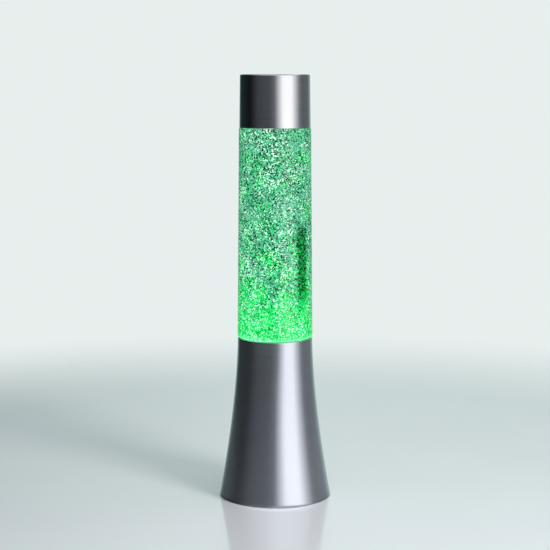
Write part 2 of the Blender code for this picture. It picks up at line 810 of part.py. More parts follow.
def bottle_inside():
    """The bottle's inner surface, from the floor's centre to the mouth."""
    floor = BOTTLE_BOTTOM + 6.5
    points = [
        (0.0, floor),
        (FOOT_RADIUS - 5.4, floor),
        (FOOT_RADIUS - 3.4, floor + 1.0),
        (FOOT_RADIUS - GLASS_WALL, floor + 3.0),
        (FOOT_RADIUS - GLASS_WALL, HEEL - 2.0),
        (GLASS_LOW_RADIUS - GLASS_WALL, HEEL + 3.4),
        (GLASS_HIGH_RADIUS - GLASS_WALL, CAP_SEAM - 4.0),
        (COLLAR_RADIUS - GLASS_WALL, CAP_SEAM + 3.0),
    ]
    points += shoulder(points[-1], (NECK_BORE, NECK_START - GLASS_WALL), 5)
    points.append((NECK_BORE, MOUTH))
    return points


def build_bottle(parent):
    """Tapered glass: a foot for the socket, a heel on the rim, a collar for the cap and a neck."""
    bead = NECK_TUBE_RADIUS + 1.1
    collar = shoulder((COLLAR_RADIUS, COLLAR_TOP), (NECK_TUBE_RADIUS, NECK_START), 6)
    outside = [
        (bead - 0.3, MOUTH),
        (bead, MOUTH - 0.5),
        (bead, MOUTH - 4.5),
        (NECK_TUBE_RADIUS, MOUTH - 5.5),
        *reversed(collar),
        (COLLAR_RADIUS, COLLAR_TOP),
        (COLLAR_RADIUS, CAP_SEAM),
        (GLASS_HIGH_RADIUS - 0.5, CAP_SEAM),
        (GLASS_HIGH_RADIUS, CAP_SEAM - 0.5),
        (GLASS_LOW_RADIUS, HEEL + 2.4),
        (GLASS_LOW_RADIUS - 0.5, HEEL + 0.8),
        (GLASS_LOW_RADIUS - 1.8, HEEL),
        (FOOT_RADIUS + 0.5, HEEL),
        (FOOT_RADIUS, HEEL - 1.0),
        (FOOT_RADIUS, BOTTLE_BOTTOM + 2.5),
        (FOOT_RADIUS - 0.9, BOTTLE_BOTTOM + 0.6),
        (FOOT_RADIUS - 2.4, BOTTLE_BOTTOM),
        (FOOT_RADIUS - 5.9, BOTTLE_BOTTOM),
        (FOOT_RADIUS - 7.9, BOTTLE_BOTTOM + 1.2),
        (0.0, BOTTLE_BOTTOM + 3.0),
    ]
    return turned("bottle", bottle_inside() + outside, ((0.9, 1.0, 0.94), 0.03, 0.0, 1.0), parent)


def build_liquid(parent):
    """The liquid and the flakes afloat in it, as one body a hair smaller than the bottle's inside."""
    inset = GAP + 0.05
    bed_top = BOTTLE_BOTTOM + 8.1
    wall = [(r - inset, z) for r, z in bottle_inside() if bed_top + 1.0 < z < LIQUID_LEVEL]
    low_radius = wall[0][0]
    profile = [(0.0, LIQUID_LEVEL), (NECK_BORE - inset, LIQUID_LEVEL), *reversed(wall)]
    profile += [(low_radius, bed_top + 1.5), (low_radius - 1.6, bed_top), (0.0, bed_top)]
    return turned("bottle_liquid", profile, ((0.2, 0.95, 0.45), 0.05, 0.0, 0.8), parent)


def build_glitter_bed(parent):
    low = BOTTLE_BOTTOM + 6.5 + GAP
    radius = FOOT_RADIUS - 5.8
    profile = [(0.0, low + 1.0), (radius - 0.4, low + 0.9), (radius, low + 0.4), (radius, low), (0.0, low)]
    return turned("glitter_bed", profile, ((0.6, 0.9, 0.7), 0.2, 0.8), parent)


def build_crown(parent):
    """Crown closure pressed over the mouth's bead, and its sealing disc."""
    skirt = NECK_TUBE_RADIUS + 1.5
    roof = MOUTH + 2.6
    profile = [
        (0.0, roof),
        (skirt - 1.2, roof),
        (skirt + 0.2, roof - 0.8),
        (skirt + 1.6, MOUTH - 3.6),
        (skirt + 0.9, MOUTH - 3.8),
        (skirt, roof - 1.6),
        (skirt - 1.4, roof - 0.7),
        (0.0, roof - 0.7),
    ]
    crown = turned("crown_closure", profile, STEEL, parent, segments=24)
    top = roof - 0.7 - GAP
    seal = [(0.0, top), (12.0, top), (12.0, MOUTH + GAP), (0.0, MOUTH + GAP)]
    turned("crown_seal", seal, ((0.7, 0.7, 0.66), 0.7), parent, segments=24)
    return crown


def build_cap(parent):
    """Spun cup that slips over the bottle's collar and stands on the ledge under it."""
    low = CAP_SEAM + GAP
    roof = HEIGHT - SHEET
    corner = 1.4
    corner_steps = 4
    edge = 0.3
    low_bore = CAP_LOW_RADIUS - SHEET + 0.05
    high_bore = CAP_HIGH_RADIUS - SHEET
    inner_corner = 0.8
    profile = [(0.0, HEIGHT)]
    for step in range(corner_steps + 1):
        angle = step / corner_steps * math.pi / 2
        radius = CAP_HIGH_RADIUS - corner + corner * math.sin(angle)
        profile.append((radius, HEIGHT - corner + corner * math.cos(angle)))
    profile += [
        (CAP_LOW_RADIUS, low + edge),
        (CAP_LOW_RADIUS - edge, low),
        (low_bore + edge, low),
        (low_bore, low + edge),
        (high_bore, roof - inner_corner),
        (high_bore - inner_corner, roof),
        (0.0, roof),
    ]
    return turned("top_cap", profile, SATIN_METAL, parent)


build_base_shell()
build_bottle_socket()
build_inner_cone()
build_cushion_ring()
build_light_window()
build_reflector()
build_led_board()
build_leds()
build_resistor()
build_bottom_plate()
build_battery_box()
build_cells()
build_springs()
build_contacts()
build_battery_door()
build_switch()
build_wires()
build_screws()
build_feet()

bottle_lift = group("bottle_lift", 0, 0, BOTTLE_BOTTOM)
build_bottle(bottle_lift)
build_liquid(bottle_lift)
build_glitter_bed(bottle_lift)
build_crown(bottle_lift)

cap_lift = group("cap_lift", 0, 0, CAP_SEAM)
build_cap(cap_lift)
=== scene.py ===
"""Looks of the glitter lamp: fine turned metal, glass and liquid, glitter flakes, and the inner parts.

Metres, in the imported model's own frame. Names in capitals are millimetres unless they say otherwise,
and profiles are (radius, height) pairs in millimetres.
"""

import math

import bmesh
import bpy
import numpy as np
from mathutils import Matrix, Vector


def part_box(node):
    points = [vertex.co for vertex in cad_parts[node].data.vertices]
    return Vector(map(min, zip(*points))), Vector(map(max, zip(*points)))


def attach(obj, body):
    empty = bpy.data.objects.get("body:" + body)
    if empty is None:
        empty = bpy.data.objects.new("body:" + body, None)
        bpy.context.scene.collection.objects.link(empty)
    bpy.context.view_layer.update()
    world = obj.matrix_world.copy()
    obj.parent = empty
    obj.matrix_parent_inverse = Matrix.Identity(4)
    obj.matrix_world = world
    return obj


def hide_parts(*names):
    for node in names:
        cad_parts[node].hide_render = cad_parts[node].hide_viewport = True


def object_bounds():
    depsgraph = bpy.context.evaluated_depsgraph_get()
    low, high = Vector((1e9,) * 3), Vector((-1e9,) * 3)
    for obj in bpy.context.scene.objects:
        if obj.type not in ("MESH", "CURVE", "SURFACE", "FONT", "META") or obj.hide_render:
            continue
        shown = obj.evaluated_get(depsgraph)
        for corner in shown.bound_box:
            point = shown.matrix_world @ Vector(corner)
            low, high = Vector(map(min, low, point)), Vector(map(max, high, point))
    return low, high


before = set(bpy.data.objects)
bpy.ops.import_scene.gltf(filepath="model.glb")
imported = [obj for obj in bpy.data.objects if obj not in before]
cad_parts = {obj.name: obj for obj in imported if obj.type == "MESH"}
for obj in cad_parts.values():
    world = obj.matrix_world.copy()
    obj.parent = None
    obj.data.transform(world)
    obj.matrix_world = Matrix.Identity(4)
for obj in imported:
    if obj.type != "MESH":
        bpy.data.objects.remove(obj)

CAD_LOW, CAD_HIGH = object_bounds()
MM = 0.001
SCENE = bpy.context.scene


def corners_of(node):
    """A CAD node's lowest and highest corners at rest, in millimetres."""
    return [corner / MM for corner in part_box(node)]


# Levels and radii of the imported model.
SHELL_LOW, SHELL_HIGH = corners_of("base_shell")
BOTTLE_LOW, BOTTLE_HIGH = corners_of("bottle")
CAP_LOW, CAP_HIGH = corners_of("top_cap")
LIQUID_HIGH = corners_of("bottle_liquid")[1]

# The base's flare, from its neck down to the table, and the sheet that base and cap are spun from.
BASE_TOP = SHELL_HIGH.z
NECK_RADIUS = 34.9
FLARE_RADIUS = 52.5
FLARE_POWER = 1.6
SHEET = 1.0

# The bottle: foot, heel at the base's rim, long body up to the cap's seam, collar, neck and mouth.
GLASS_WALL = 2.6
FLOOR_RISE = 6.5
FOOT_RADIUS = 30.4
HEEL = BASE_TOP + 0.3
HEEL_RADIUS = 35.1
SHOULDER_RADIUS = 33.4
CAP_SEAM = CAP_LOW.z
COLLAR_RADIUS = 31.6
COLLAR_TOP = 352.0
NECK_TUBE_RADIUS = 12.2
NECK_BORE = 9.5
NECK_START = 366.0
MOUTH = BOTTLE_HIGH.z

# The three cells, side by side along x. Their middles are a pitch apart.
CELL_RADIUS = 7.05
CELL_LENGTH = 49.0
CELL_PITCH = 15.2
CELL_Z = 12.6

# The glitter. Flakes float in bands between the glass and a cloud, which is set in from the glass.
SEED = 11
BANDS = 3
FLAKES_A_BAND = 14000
SETTLED_FLAKES = 2200
CLOUD_INSET = 3.6

# A noise node's values mostly lie between these two.
NOISE_LOW = 0.3
NOISE_HIGH = 0.7


# Node helpers.


class Nodes:
    """Short ways to add nodes to one tree."""

    def __init__(self, tree):
        self.tree = tree
        tree.nodes.clear()

    def add(self, kind, **settings):
        """A new node. A setting is a property of the node, or else the value of one of its inputs."""
        node = self.tree.nodes.new("ShaderNode" + kind)
        for name, value in settings.items():
            if hasattr(node, name):
                setattr(node, name, value)
            else:
                node.inputs[name.replace("_", " ")].default_value = value
        return node

    def link(self, output, target):
        self.tree.links.new(output, target)

    def place(self, scale=(1.0, 1.0, 1.0)):
        """The point's place in its object, in metres, scaled along each axis."""
        mapping = self.add("Mapping")
        mapping.inputs["Scale"].default_value = scale
        self.link(self.add("TexCoord").outputs["Object"], mapping.inputs["Vector"])
        return mapping.outputs[0]

    def parts(self, vector):
        """A vector's x, y and z."""
        split = self.add("SeparateXYZ")
        self.link(vector, split.inputs[0])
        return [split.outputs[axis] for axis in "XYZ"]

    def axis_distance(self):
        """How far the point is from the z axis, in metres."""
        length = self.add("VectorMath", operation="LENGTH")
        self.link(self.place((1.0, 1.0, 0.0)), length.inputs[0])
        return length.outputs["Value"]

    def noise(self, vector, scale, detail=3.0, roughness=0.5):
        """A noise's value. Its scale is how many of its waves fit in a metre."""
        node = self.add("TexNoise", Scale=scale, Detail=detail, Roughness=roughness)
        self.link(vector, node.inputs["Vector"])
        return node.outputs["Fac"]

    def span(self, value, low, high, from_low=0.0, from_high=1.0, smooth=False):
        """Runs from low to high as the value runs from from_low to from_high, and stays there past them."""
        node = self.add("MapRange")
        node.interpolation_type = "SMOOTHSTEP" if smooth else "LINEAR"
        ends = {"From Min": from_low, "From Max": from_high, "To Min": low, "To Max": high}
        for socket, number in ends.items():
            node.inputs[socket].default_value = number
        self.link(value, node.inputs["Value"])
        return node.outputs[0]

    def spread(self, noise, low, high):
        """Runs from low to high over a noise's usual values."""
        return self.span(noise, low, high, NOISE_LOW, NOISE_HIGH)

    def maths(self, operation, *values):
        """The result of one Math node, whose values are numbers or other nodes' outputs."""
        node = self.add("Math", operation=operation)
        for socket, value in zip(node.inputs, values):
            if isinstance(value, (int, float)):
                socket.default_value = value
            else:
                self.link(value, socket)
        return node.outputs[0]

    def sum(self, a, b):
        return self.maths("ADD", a, b)

    def product(self, a, b):
        return self.maths("MULTIPLY", a, b)

    def ramp(self, value, stops, constant=False):
        """A colour read off (position, colour) stops, either blended between them or constant."""
        node = self.add("ValToRGB")
        node.color_ramp.interpolation = "CONSTANT" if constant else "LINEAR"
        elements = node.color_ramp.elements
        while len(elements) < len(stops):
            elements.new(1.0)
        for element, (position, colour) in zip(elements, stops):
            element.position = position
            element.color = (*colour, 1.0)
        self.link(value, node.inputs["Fac"])
        return node.outputs["Color"]

    def tint(self, noise, low, high):
        """A colour that runs from low to high over a noise's usual values."""
        return self.ramp(noise, ((NOISE_LOW, low), (NOISE_HIGH, high)))

    def mix(self, factor, a, b, blend="MIX"):
        """Colour a at factor 0 and b at factor 1, unless another blend is given."""
        node = self.add("Mix", data_type="RGBA", blend_type=blend)
        for socket, value in ((node.inputs[0], factor), (node.inputs[6], a), (node.inputs[7], b)):
            if isinstance(value, (int, float)):
                socket.default_value = value
            elif isinstance(value, tuple):
                socket.default_value = (*value, 1.0)
            else:
                self.link(value, socket)
        return node.outputs[2]

    def bump(self, height, strength, distance):
        node = self.add("Bump", Strength=strength, Distance=distance)
        self.link(height, node.inputs["Height"])
        return node.outputs[0]


def new_material(name, **constants):
    """A material with a Principled shader, whose constants are set on its own sockets."""
    material = bpy.data.materials.new(name)
    material.use_nodes = True
    nodes = Nodes(material.node_tree)
    shader = nodes.add("BsdfPrincipled")
    nodes.link(shader.outputs[0], nodes.add("OutputMaterial").inputs["Surface"])
    for socket, value in constants.items():
        socket = socket.replace("_", " ")
        if isinstance(value, tuple):
            value = (*value, 1.0)
        shader.inputs[socket].default_value = value
    return material, nodes, shader


# Materials.


def spun_metal(name, light, dark, roughness, metallic):
    """Satin metal, spun on a lathe: fine turning rings round the axis, soft cloudy variation."""
    material, n, shader = new_material(name, Metallic=metallic)
    ring_fineness = 55.0
    ring_drift = 0.8
    x, _, z = n.parts(n.place())
    lathe = n.add("CombineXYZ")
    n.link(n.product(n.axis_distance(), ring_fineness), lathe.inputs["X"])
    n.link(n.product(x, ring_drift), lathe.inputs["Y"])
    n.link(n.product(z, ring_fineness), lathe.inputs["Z"])
    rings = n.noise(lathe.outputs[0], scale=22.0)
    clouds = n.noise(n.place((1.0, 1.0, 0.6)), scale=12.0)
    tone = n.sum(n.spread(clouds, 0.1, 0.8), n.spread(rings, -0.16, 0.16))
    n.link(n.ramp(tone, ((0.2, dark), (0.8, light))), shader.inputs["Base Color"])
    varied = n.sum(n.spread(clouds, -0.012, 0.012), n.spread(rings, -0.035, 0.035))
    n.link(n.sum(varied, roughness), shader.inputs["Roughness"])
    n.link(n.bump(rings, strength=0.05, distance=0.00001), shader.inputs["Normal"])
    return material


def clear_glass():
    """Bottle glass: faintly wavy, greener at its edges. The heel's ring glows with painted light of the
    LEDs, which gathers there.
    """
    material, n, shader = new_material(
        "bottle_glass",
        Roughness=0.0,
        IOR=1.47,
        Transmission_Weight=1.0,
        Specular_Tint=(0.32, 0.32, 0.32),
        # The emission colour is the heel's painted green glow.
        Emission_Color=(0.16, 1.0, 0.36),
    )
    waves = n.noise(n.place((1.0, 1.0, 0.4)), scale=45.0, detail=1.0)
    n.link(n.bump(waves, strength=0.03, distance=0.0003), shader.inputs["Normal"])
    facing = n.add("LayerWeight", Blend=0.5).outputs["Facing"]
    edge = n.span(facing, 0.0, 1.0, 0.55, 0.85, smooth=True)
    n.link(n.mix(edge, (0.93, 1.0, 0.95), (0.10, 0.62, 0.26)), shader.inputs["Base Color"])
    # Painted glow, in a thin ring at the heel.
    z = n.parts(n.place())[2]
    rise = n.span(z, 0.1, 0.45, (HEEL - 3.0) * MM, HEEL * MM, smooth=True)
    fall = n.span(z, 1.0, 0.0, (HEEL + 0.8) * MM, (HEEL + 3.0) * MM, smooth=True)
    n.link(n.product(rise, fall), shader.inputs["Emission Strength"])
    return material


def lamp_liquid():
    """Clear liquid with faint currents, tinted slightly green."""
    material, n, shader = new_material(
        "lamp_liquid", Base_Color=(0.86, 1.0, 0.92), Roughness=0.0, IOR=1.33, Transmission_Weight=1.0
    )
    currents = n.noise(n.place(), scale=30.0, detail=1.0)
    n.link(n.bump(currents, strength=0.02, distance=0.0002), shader.inputs["Normal"])
    return material


# Painted light and shade of the flakes, from painted shade on those turned away from the light to painted
# glints, brighter than white, on those that catch it.
TEAL_SHADES = (
    (0.0, (0.0, 0.006, 0.002)),
    (0.20, (0.0, 0.02, 0.01)),
    (0.24, (0.01, 0.24, 0.12)),
    (0.47, (0.085, 0.48, 0.28)),
    (0.75, (0.17, 0.68, 0.45)),
    (0.89, (0.38, 0.92, 0.68)),
    (0.93, (1.15, 1.25, 1.12)),
    (1.0, (1.4, 1.4, 1.3)),
)
# The vivid shades also hold the green painted light of the LEDs below.
VIVID_SHADES = (
    (0.0, (0.0, 0.006, 0.0)),
    (0.18, (0.0, 0.04, 0.004)),
    (0.23, (0.0, 0.32, 0.045)),
    (0.46, (0.0, 0.63, 0.12)),
    (0.75, (0.008, 0.87, 0.20)),
    (0.89, (0.11, 1.0, 0.38)),
    (0.93, (0.66, 1.12, 0.80)),
    (1.0, (1.0, 1.2, 1.05)),
)
# Plain teal of the calm patches: a painted view of a teal wall seen through the liquid.
CALM_TEAL = (0.12, 0.50, 0.32)

# Painted shade darkens the flakes in one upright patch at the right front. These are its middle's
# angle and its inner and outer half widths, in radians from the front, and its ends with their fades.
PATCH_ANGLE = 0.93
PATCH_CORE = 0.10
PATCH_REACH = 0.30
PATCH_LOW = 172.0
PATCH_LOW_FADE = 30.0
PATCH_HIGH = 268.0
PATCH_HIGH_FADE = 25.0


def painted_shade_patch(n, x, y, z):
    """1 inside the upright patch of painted shade at the right front, and 0 outside it."""
    angle = n.maths("ARCTAN2", x, n.product(y, -1.0))
    aside = n.maths("ABSOLUTE", n.sum(angle, -PATCH_ANGLE))
    across = n.span(aside, 1.0, 0.0, PATCH_CORE, PATCH_REACH, smooth=True)
    low = n.span(z, 0.0, 1.0, PATCH_LOW * MM, (PATCH_LOW + PATCH_LOW_FADE) * MM, smooth=True)
    high = n.span(z, 1.0, 0.0, (PATCH_HIGH - PATCH_HIGH_FADE) * MM, PATCH_HIGH * MM, smooth=True)
    return n.product(n.product(across, low), high)


def flake_colour(n, shade, hue, calm=0.0):
    """A flake's colour from its own shade and hue: teal above, vivid green in the painted light of the LEDs
    below, darker in the patch of painted shade. Calm patches, where few flakes hang, even out to plain
    teal, a painted view of a wall seen through the liquid. Also gives the point's height, which is 0 at
    the bottle's heel and 1 under the cap."""
    x, y, z = n.parts(n.place())
    height = n.span(z, 0.0, 1.0, HEEL * MM, CAP_SEAM * MM)
    # Painted shade: the patch darkens the flakes and turns them vivid green.
    painted_shade = painted_shade_patch(n, x, y, z)
    # Painted LED light: near the bottom the flakes turn brighter and a more vivid green.
    low = n.span(height, 1.0, 0.0, 0.0, 0.52, smooth=True)
    drift = n.noise(n.place((1.0, 1.0, 0.7)), scale=75.0)
    moved = n.sum(n.sum(shade, n.spread(drift, -0.09, 0.09)), n.product(painted_shade, -0.42))
    moved = n.sum(moved, n.product(low, n.span(shade, 0.22, 0.0)))
    teal = n.ramp(moved, TEAL_SHADES)
    vivid = n.ramp(moved, VIVID_SHADES)
    # Calm patches, where few flakes hang, are painted plain teal as a view of a wall through the liquid.
    if calm > 0.0:
        quiet = n.noise(n.place((1.0, 1.0, 0.6)), scale=60.0, detail=2.0)
        patches = n.span(quiet, 0.0, calm, 0.42, 0.55, smooth=True)
        patches = n.product(patches, n.span(height, 0.0, 1.0, 0.1, 0.5))
        teal = n.mix(patches, teal, CALM_TEAL)
    other = n.noise(n.place((1.0, 1.0, 0.8)), scale=85.0, detail=2.0)
    share = n.sum(n.sum(n.span(hue, -0.35, 0.35), n.spread(other, -0.55, 0.75)), low)
    share = n.span(n.sum(share, painted_shade), 0.0, 1.0)
    return n.mix(share, teal, vivid), height


def glitter_cloud():
    """The mass of flakes deep in the liquid, glowing with the painted light of the LEDs below."""
    material, n, shader = new_material("glitter_cloud", Roughness=0.5, Metallic=0.0)
    specks = n.add("TexVoronoi", Scale=900.0, Randomness=1.0)
    n.link(n.place(), specks.inputs["Vector"])
    split = n.add("SeparateColor")
    n.link(specks.outputs["Color"], split.inputs[0])
    shade, hue = split.outputs[:2]
    colour, height = flake_colour(n, shade, hue, calm=0.6)
    n.link(n.mix(0.75, colour, (0.0, 0.0, 0.0)), shader.inputs["Base Color"])
    # Painted light: the speckles glow in their painted colours, a little less high up.
    n.link(colour, shader.inputs["Emission Color"])
    n.link(n.span(height, 1.04, 0.96), shader.inputs["Emission Strength"])
    return material


def flake_metal():
    """Metallised film flakes. Each flake holds a shade and a hue of its own, and glows with painted LED
    light.
    """
    material, n, shader = new_material("glitter_flakes", Roughness=0.14, Metallic=0.8)
    shade = n.add("Attribute", attribute_name="shade").outputs["Fac"]
    hue = n.add("Attribute", attribute_name="hue").outputs["Fac"]
    colour, height = flake_colour(n, shade, hue)
    n.link(colour, shader.inputs["Base Color"])
    # Painted light: the flakes glow in their painted colours, less high up.
    n.link(colour, shader.inputs["Emission Color"])
    n.link(n.span(height, 1.0, 0.88), shader.inputs["Emission Strength"])
    return material


def moulded(name, dark, light, roughness, texture=1500.0, depth=0.00003):
    """Moulded plastic or rubber with a fine spark-eroded texture, whose depth is in metres."""
    material, n, shader = new_material(name)
    grain = n.noise(n.place(), scale=texture, detail=2.0, roughness=0.6)
    clouds = n.noise(n.place(), scale=25.0)
    n.link(n.tint(clouds, dark, light), shader.inputs["Base Color"])
    n.link(n.spread(grain, roughness - 0.06, roughness + 0.06), shader.inputs["Roughness"])
    n.link(n.bump(grain, strength=0.35, distance=depth), shader.inputs["Normal"])
    return material


def plated(name, dark, light, roughness, stretch=(1.0, 1.0, 1.0)):
    """Plated or bare sheet metal with drawn or rolled grain."""
    material, n, shader = new_material(name, Metallic=1.0)
    grain = n.noise(n.place(stretch), scale=900.0)
    stain = n.noise(n.place(), scale=120.0, detail=4.0)
    n.link(n.tint(stain, dark, light), shader.inputs["Base Color"])
    n.link(n.spread(grain, roughness - 0.08, roughness + 0.1), shader.inputs["Roughness"])
    n.link(n.bump(grain, strength=0.2, distance=0.00002), shader.inputs["Normal"])
    return material


def lit_plastic():
    """The diffuser over the LEDs: milky, with a painted glow of their light, brightest over the middle."""
    material, n, shader = new_material("lit_window", Roughness=0.35)
    window_radius = 24.0
    mottle = n.noise(n.place(), scale=300.0, detail=2.0)
    tone = n.tint(mottle, (0.20, 0.85, 0.42), (0.28, 0.95, 0.5))
    n.link(n.mix(0.4, tone, (0.8, 0.9, 0.85)), shader.inputs["Base Color"])
    n.link(tone, shader.inputs["Emission Color"])
    # Painted glow: brightest over the middle, fading towards the rim.
    glow = n.span(n.axis_distance(), 1.1, 0.45, 0.0, window_radius * MM)
    n.link(glow, shader.inputs["Emission Strength"])
    return material


def led_lens():
    """Tinted epoxy, glowing most round the chip low in the lens."""
    material, n, shader = new_material(
        "led_lens", Roughness=0.12, IOR=1.5, Transmission_Weight=0.3, Emission_Color=(0.12, 1.0, 0.32)
    )
    chip = 111.0
    lens_tip = 118.0
    flow = n.noise(n.place(), scale=700.0, detail=2.0)
    n.link(n.tint(flow, (0.10, 0.80, 0.28), (0.18, 0.92, 0.38)), shader.inputs["Base Color"])
    z = n.parts(n.place())[2]
    n.link(n.span(z, 3.0, 0.8, chip * MM, lens_tip * MM), shader.inputs["Emission Strength"])
    return material


def board_laminate():
    """White solder mask over copper tracks, which show as faintly raised lines."""
    material, n, shader = new_material("board_laminate", Roughness=0.4)
    layout = {"Mortar_Size": 0.06, "Mortar_Smooth": 0.3, "Brick_Width": 0.9, "Row_Height": 0.35}
    bricks = n.add("TexBrick", Scale=140.0, **layout)
    n.link(n.place(), bricks.inputs["Vector"])
    tracks = bricks.outputs["Fac"]
    mask = n.tint(n.noise(n.place(), scale=400.0), (0.70, 0.73, 0.69), (0.78, 0.81, 0.77))
    n.link(n.mix(n.product(tracks, 0.35), mask, (0.42, 0.50, 0.40)), shader.inputs["Base Color"])
    n.link(n.bump(tracks, strength=0.5, distance=0.00004), shader.inputs["Normal"])
    return material


def resistor_body():
    """Lacquered body with painted value rings, on tinned leads."""
    material, n, shader = new_material("resistor_body", Roughness=0.35)
    half_length = 5.0
    x = n.parts(n.place())[0]
    along = n.span(x, 0.0, 1.0, -half_length * MM, half_length * MM)
    tin = (0.62, 0.61, 0.58)
    body = (0.20, 0.42, 0.55)
    body_start = 0.19
    body_end = 0.81
    ring_width = 0.06
    rings = (
        (0.27, (0.45, 0.12, 0.02)),
        (0.42, (0.02, 0.02, 0.02)),
        (0.57, (0.55, 0.25, 0.02)),
        (0.72, (0.5, 0.36, 0.1)),
    )
    stops = [(0.0, tin), (body_start, body)]
    for start, paint in rings:
        stops += [(start, paint), (start + ring_width, body)]
    stops.append((body_end, tin))
    colour = n.ramp(along, stops, constant=True)
    lacquer = n.noise(n.place(), scale=1500.0, detail=2.0)
    n.link(n.mix(n.spread(lacquer, 0.0, 0.25), colour, (0.1, 0.1, 0.1)), shader.inputs["Base Color"])
    n.link(n.bump(lacquer, strength=0.2, distance=0.00002), shader.inputs["Normal"])
    return material


def cell_jacket():
    """A plain cell: dark green sleeve with a brass-coloured shoulder, bare steel at both ends."""
    material, n, shader = new_material("cell_jacket", Roughness=0.3)
    shoulder = 0.70
    bare_radius = CELL_RADIUS - 1.0
    z = n.parts(n.place())[2]
    along = n.span(z, 0.0, 1.0, 0.0, CELL_LENGTH * MM)
    sleeve = n.ramp(along, ((0.0, (0.03, 0.13, 0.06)), (shoulder, (0.55, 0.40, 0.17))), constant=True)
    bare = n.span(n.axis_distance(), 1.0, 0.0, (bare_radius - 0.15) * MM, bare_radius * MM)
    wear = n.noise(n.place((1.0, 1.0, 0.2)), scale=500.0)
    steel = n.tint(wear, (0.50, 0.50, 0.51), (0.66, 0.66, 0.67))
    worn = n.mix(n.span(wear, 0.0, 0.3, 0.4, 0.8), sleeve, (0.30, 0.30, 0.28))
    n.link(n.mix(bare, worn, steel), shader.inputs["Base Color"])
    shine = n.span(along, 0.25, 0.85, shoulder - 0.005, shoulder + 0.005)
    n.link(n.maths("MAXIMUM", shine, bare), shader.inputs["Metallic"])
    n.link(n.spread(wear, 0.24, 0.38), shader.inputs["Roughness"])
    return material


# Shapes.


def arc(centre, radius, start, end, steps=6):
    """Points of an arc in a profile, angles in degrees from +r towards +z."""
    r, z = centre
    angles = [math.radians(start + (end - start) * i / steps) for i in range(steps + 1)]
    return [(r + radius * math.cos(a), z + radius * math.sin(a)) for a in angles]


def ellipse(low, high, steps):
    """A quarter ellipse from a vertical wall at low, up and in to a neck at high."""
    (low_r, low_z), (high_r, high_z) = low, high
    angles = [i / steps * math.pi / 2 for i in range(1, steps + 1)]
    shares = [(math.cos(a), math.sin(a)) for a in angles]
    return [(high_r + (low_r - high_r) * out, low_z + (high_z - low_z) * up) for out, up in shares]


def straight(start, end):
    """Points on a straight wall, two of them near its ends, so that smooth shading keeps it straight."""
    (start_r, start_z), (end_r, end_z) = start, end
    shares = (0.01, 0.25, 0.5, 0.75, 0.99)
    return [(start_r + (end_r - start_r) * s, start_z + (end_z - start_z) * s) for s in shares]


def flare(z):
    """The base's outer radius at a height."""
    share = max(0.0, (BASE_TOP - z) / BASE_TOP)
    return NECK_RADIUS + (FLARE_RADIUS - NECK_RADIUS) * share**FLARE_POWER


def flared(start, end, steps, inset=0.0):
    """Points along the base's flare between two heights, set in from its outside."""
    heights = [start + (end - start) * step / steps for step in range(steps + 1)]
    return [(flare(z) - inset, z) for z in heights]


def link_mesh(name, mesh, material):
    """A new object in the scene, made of one mesh and one material."""
    obj = bpy.data.objects.new(name, mesh)
    SCENE.collection.objects.link(obj)
    obj.data.materials.append(material)
    return obj


def turned(name, profile, material, segments=192, sharp=40):
    """A solid of revolution. Where its profile ends off the axis, the two ends are joined."""
    mesh = bpy.data.meshes.new(name)
    bm = bmesh.new()
    verts = [bm.verts.new((r * MM, 0.0, z * MM)) for r, z in profile]
    edges = [bm.edges.new(pair) for pair in zip(verts, verts[1:])]
    if profile[0][0] > 0.0 or profile[-1][0] > 0.0:
        edges.append(bm.edges.new((verts[-1], verts[0])))
    bmesh.ops.spin(bm, geom=verts + edges, axis=(0, 0, 1), angle=math.tau, steps=segments, use_merge=True)
    bmesh.ops.remove_doubles(bm, verts=bm.verts, dist=1e-7)
    bmesh.ops.recalc_face_normals(bm, faces=bm.faces)
    bm.to_mesh(mesh)
    bm.free()
    mesh.shade_smooth()
    mesh.set_sharp_from_angle(angle=math.radians(sharp))
    return link_mesh(name, mesh, material)


def centre_on(piece, low, high):
    """Moves a turned piece from the z axis to the middle between two corners. Heights stay."""
    middle = ((low.x + high.x) / 2 * MM, (low.y + high.y) / 2 * MM, 0.0)
    piece.data.transform(Matrix.Translation(middle))


def build_base(material):
    """The spun shell: rolled rim, ledge for the socket's flange, long flare, hemmed bottom edge."""
    bottom = 0.25
    hem = 0.35
    rim = 0.45
    inner_rim = 0.3
    recess = 33.8
    ledge = BASE_TOP - 0.9
    ledge_bore = 32.3
    inside_low = SHELL_LOW.z + 3.8
    inside_high = ledge - 1.8
    outside = [(ledge_bore, ledge), (recess, ledge), (recess, BASE_TOP - inner_rim)]
    outside += arc((recess + inner_rim, BASE_TOP - inner_rim), inner_rim, 180, 90, 4)[1:]
    outside += arc((NECK_RADIUS - rim, BASE_TOP - rim), rim, 90, 0, 6)
    outside += flared(BASE_TOP - rim, bottom + hem, steps=60)[1:]
    edge = arc((flare(bottom) - hem, bottom + hem), hem, 0, -180, 12)[1:]
    inside = flared(inside_low, inside_high, steps=12, inset=SHEET)
    inside += [(ledge_bore + SHEET, ledge - SHEET), (ledge_bore, ledge - SHEET)]
    piece = turned("base_metal", outside + edge + inside, material, segments=256)
    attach(piece, "base")
    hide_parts("base_shell")


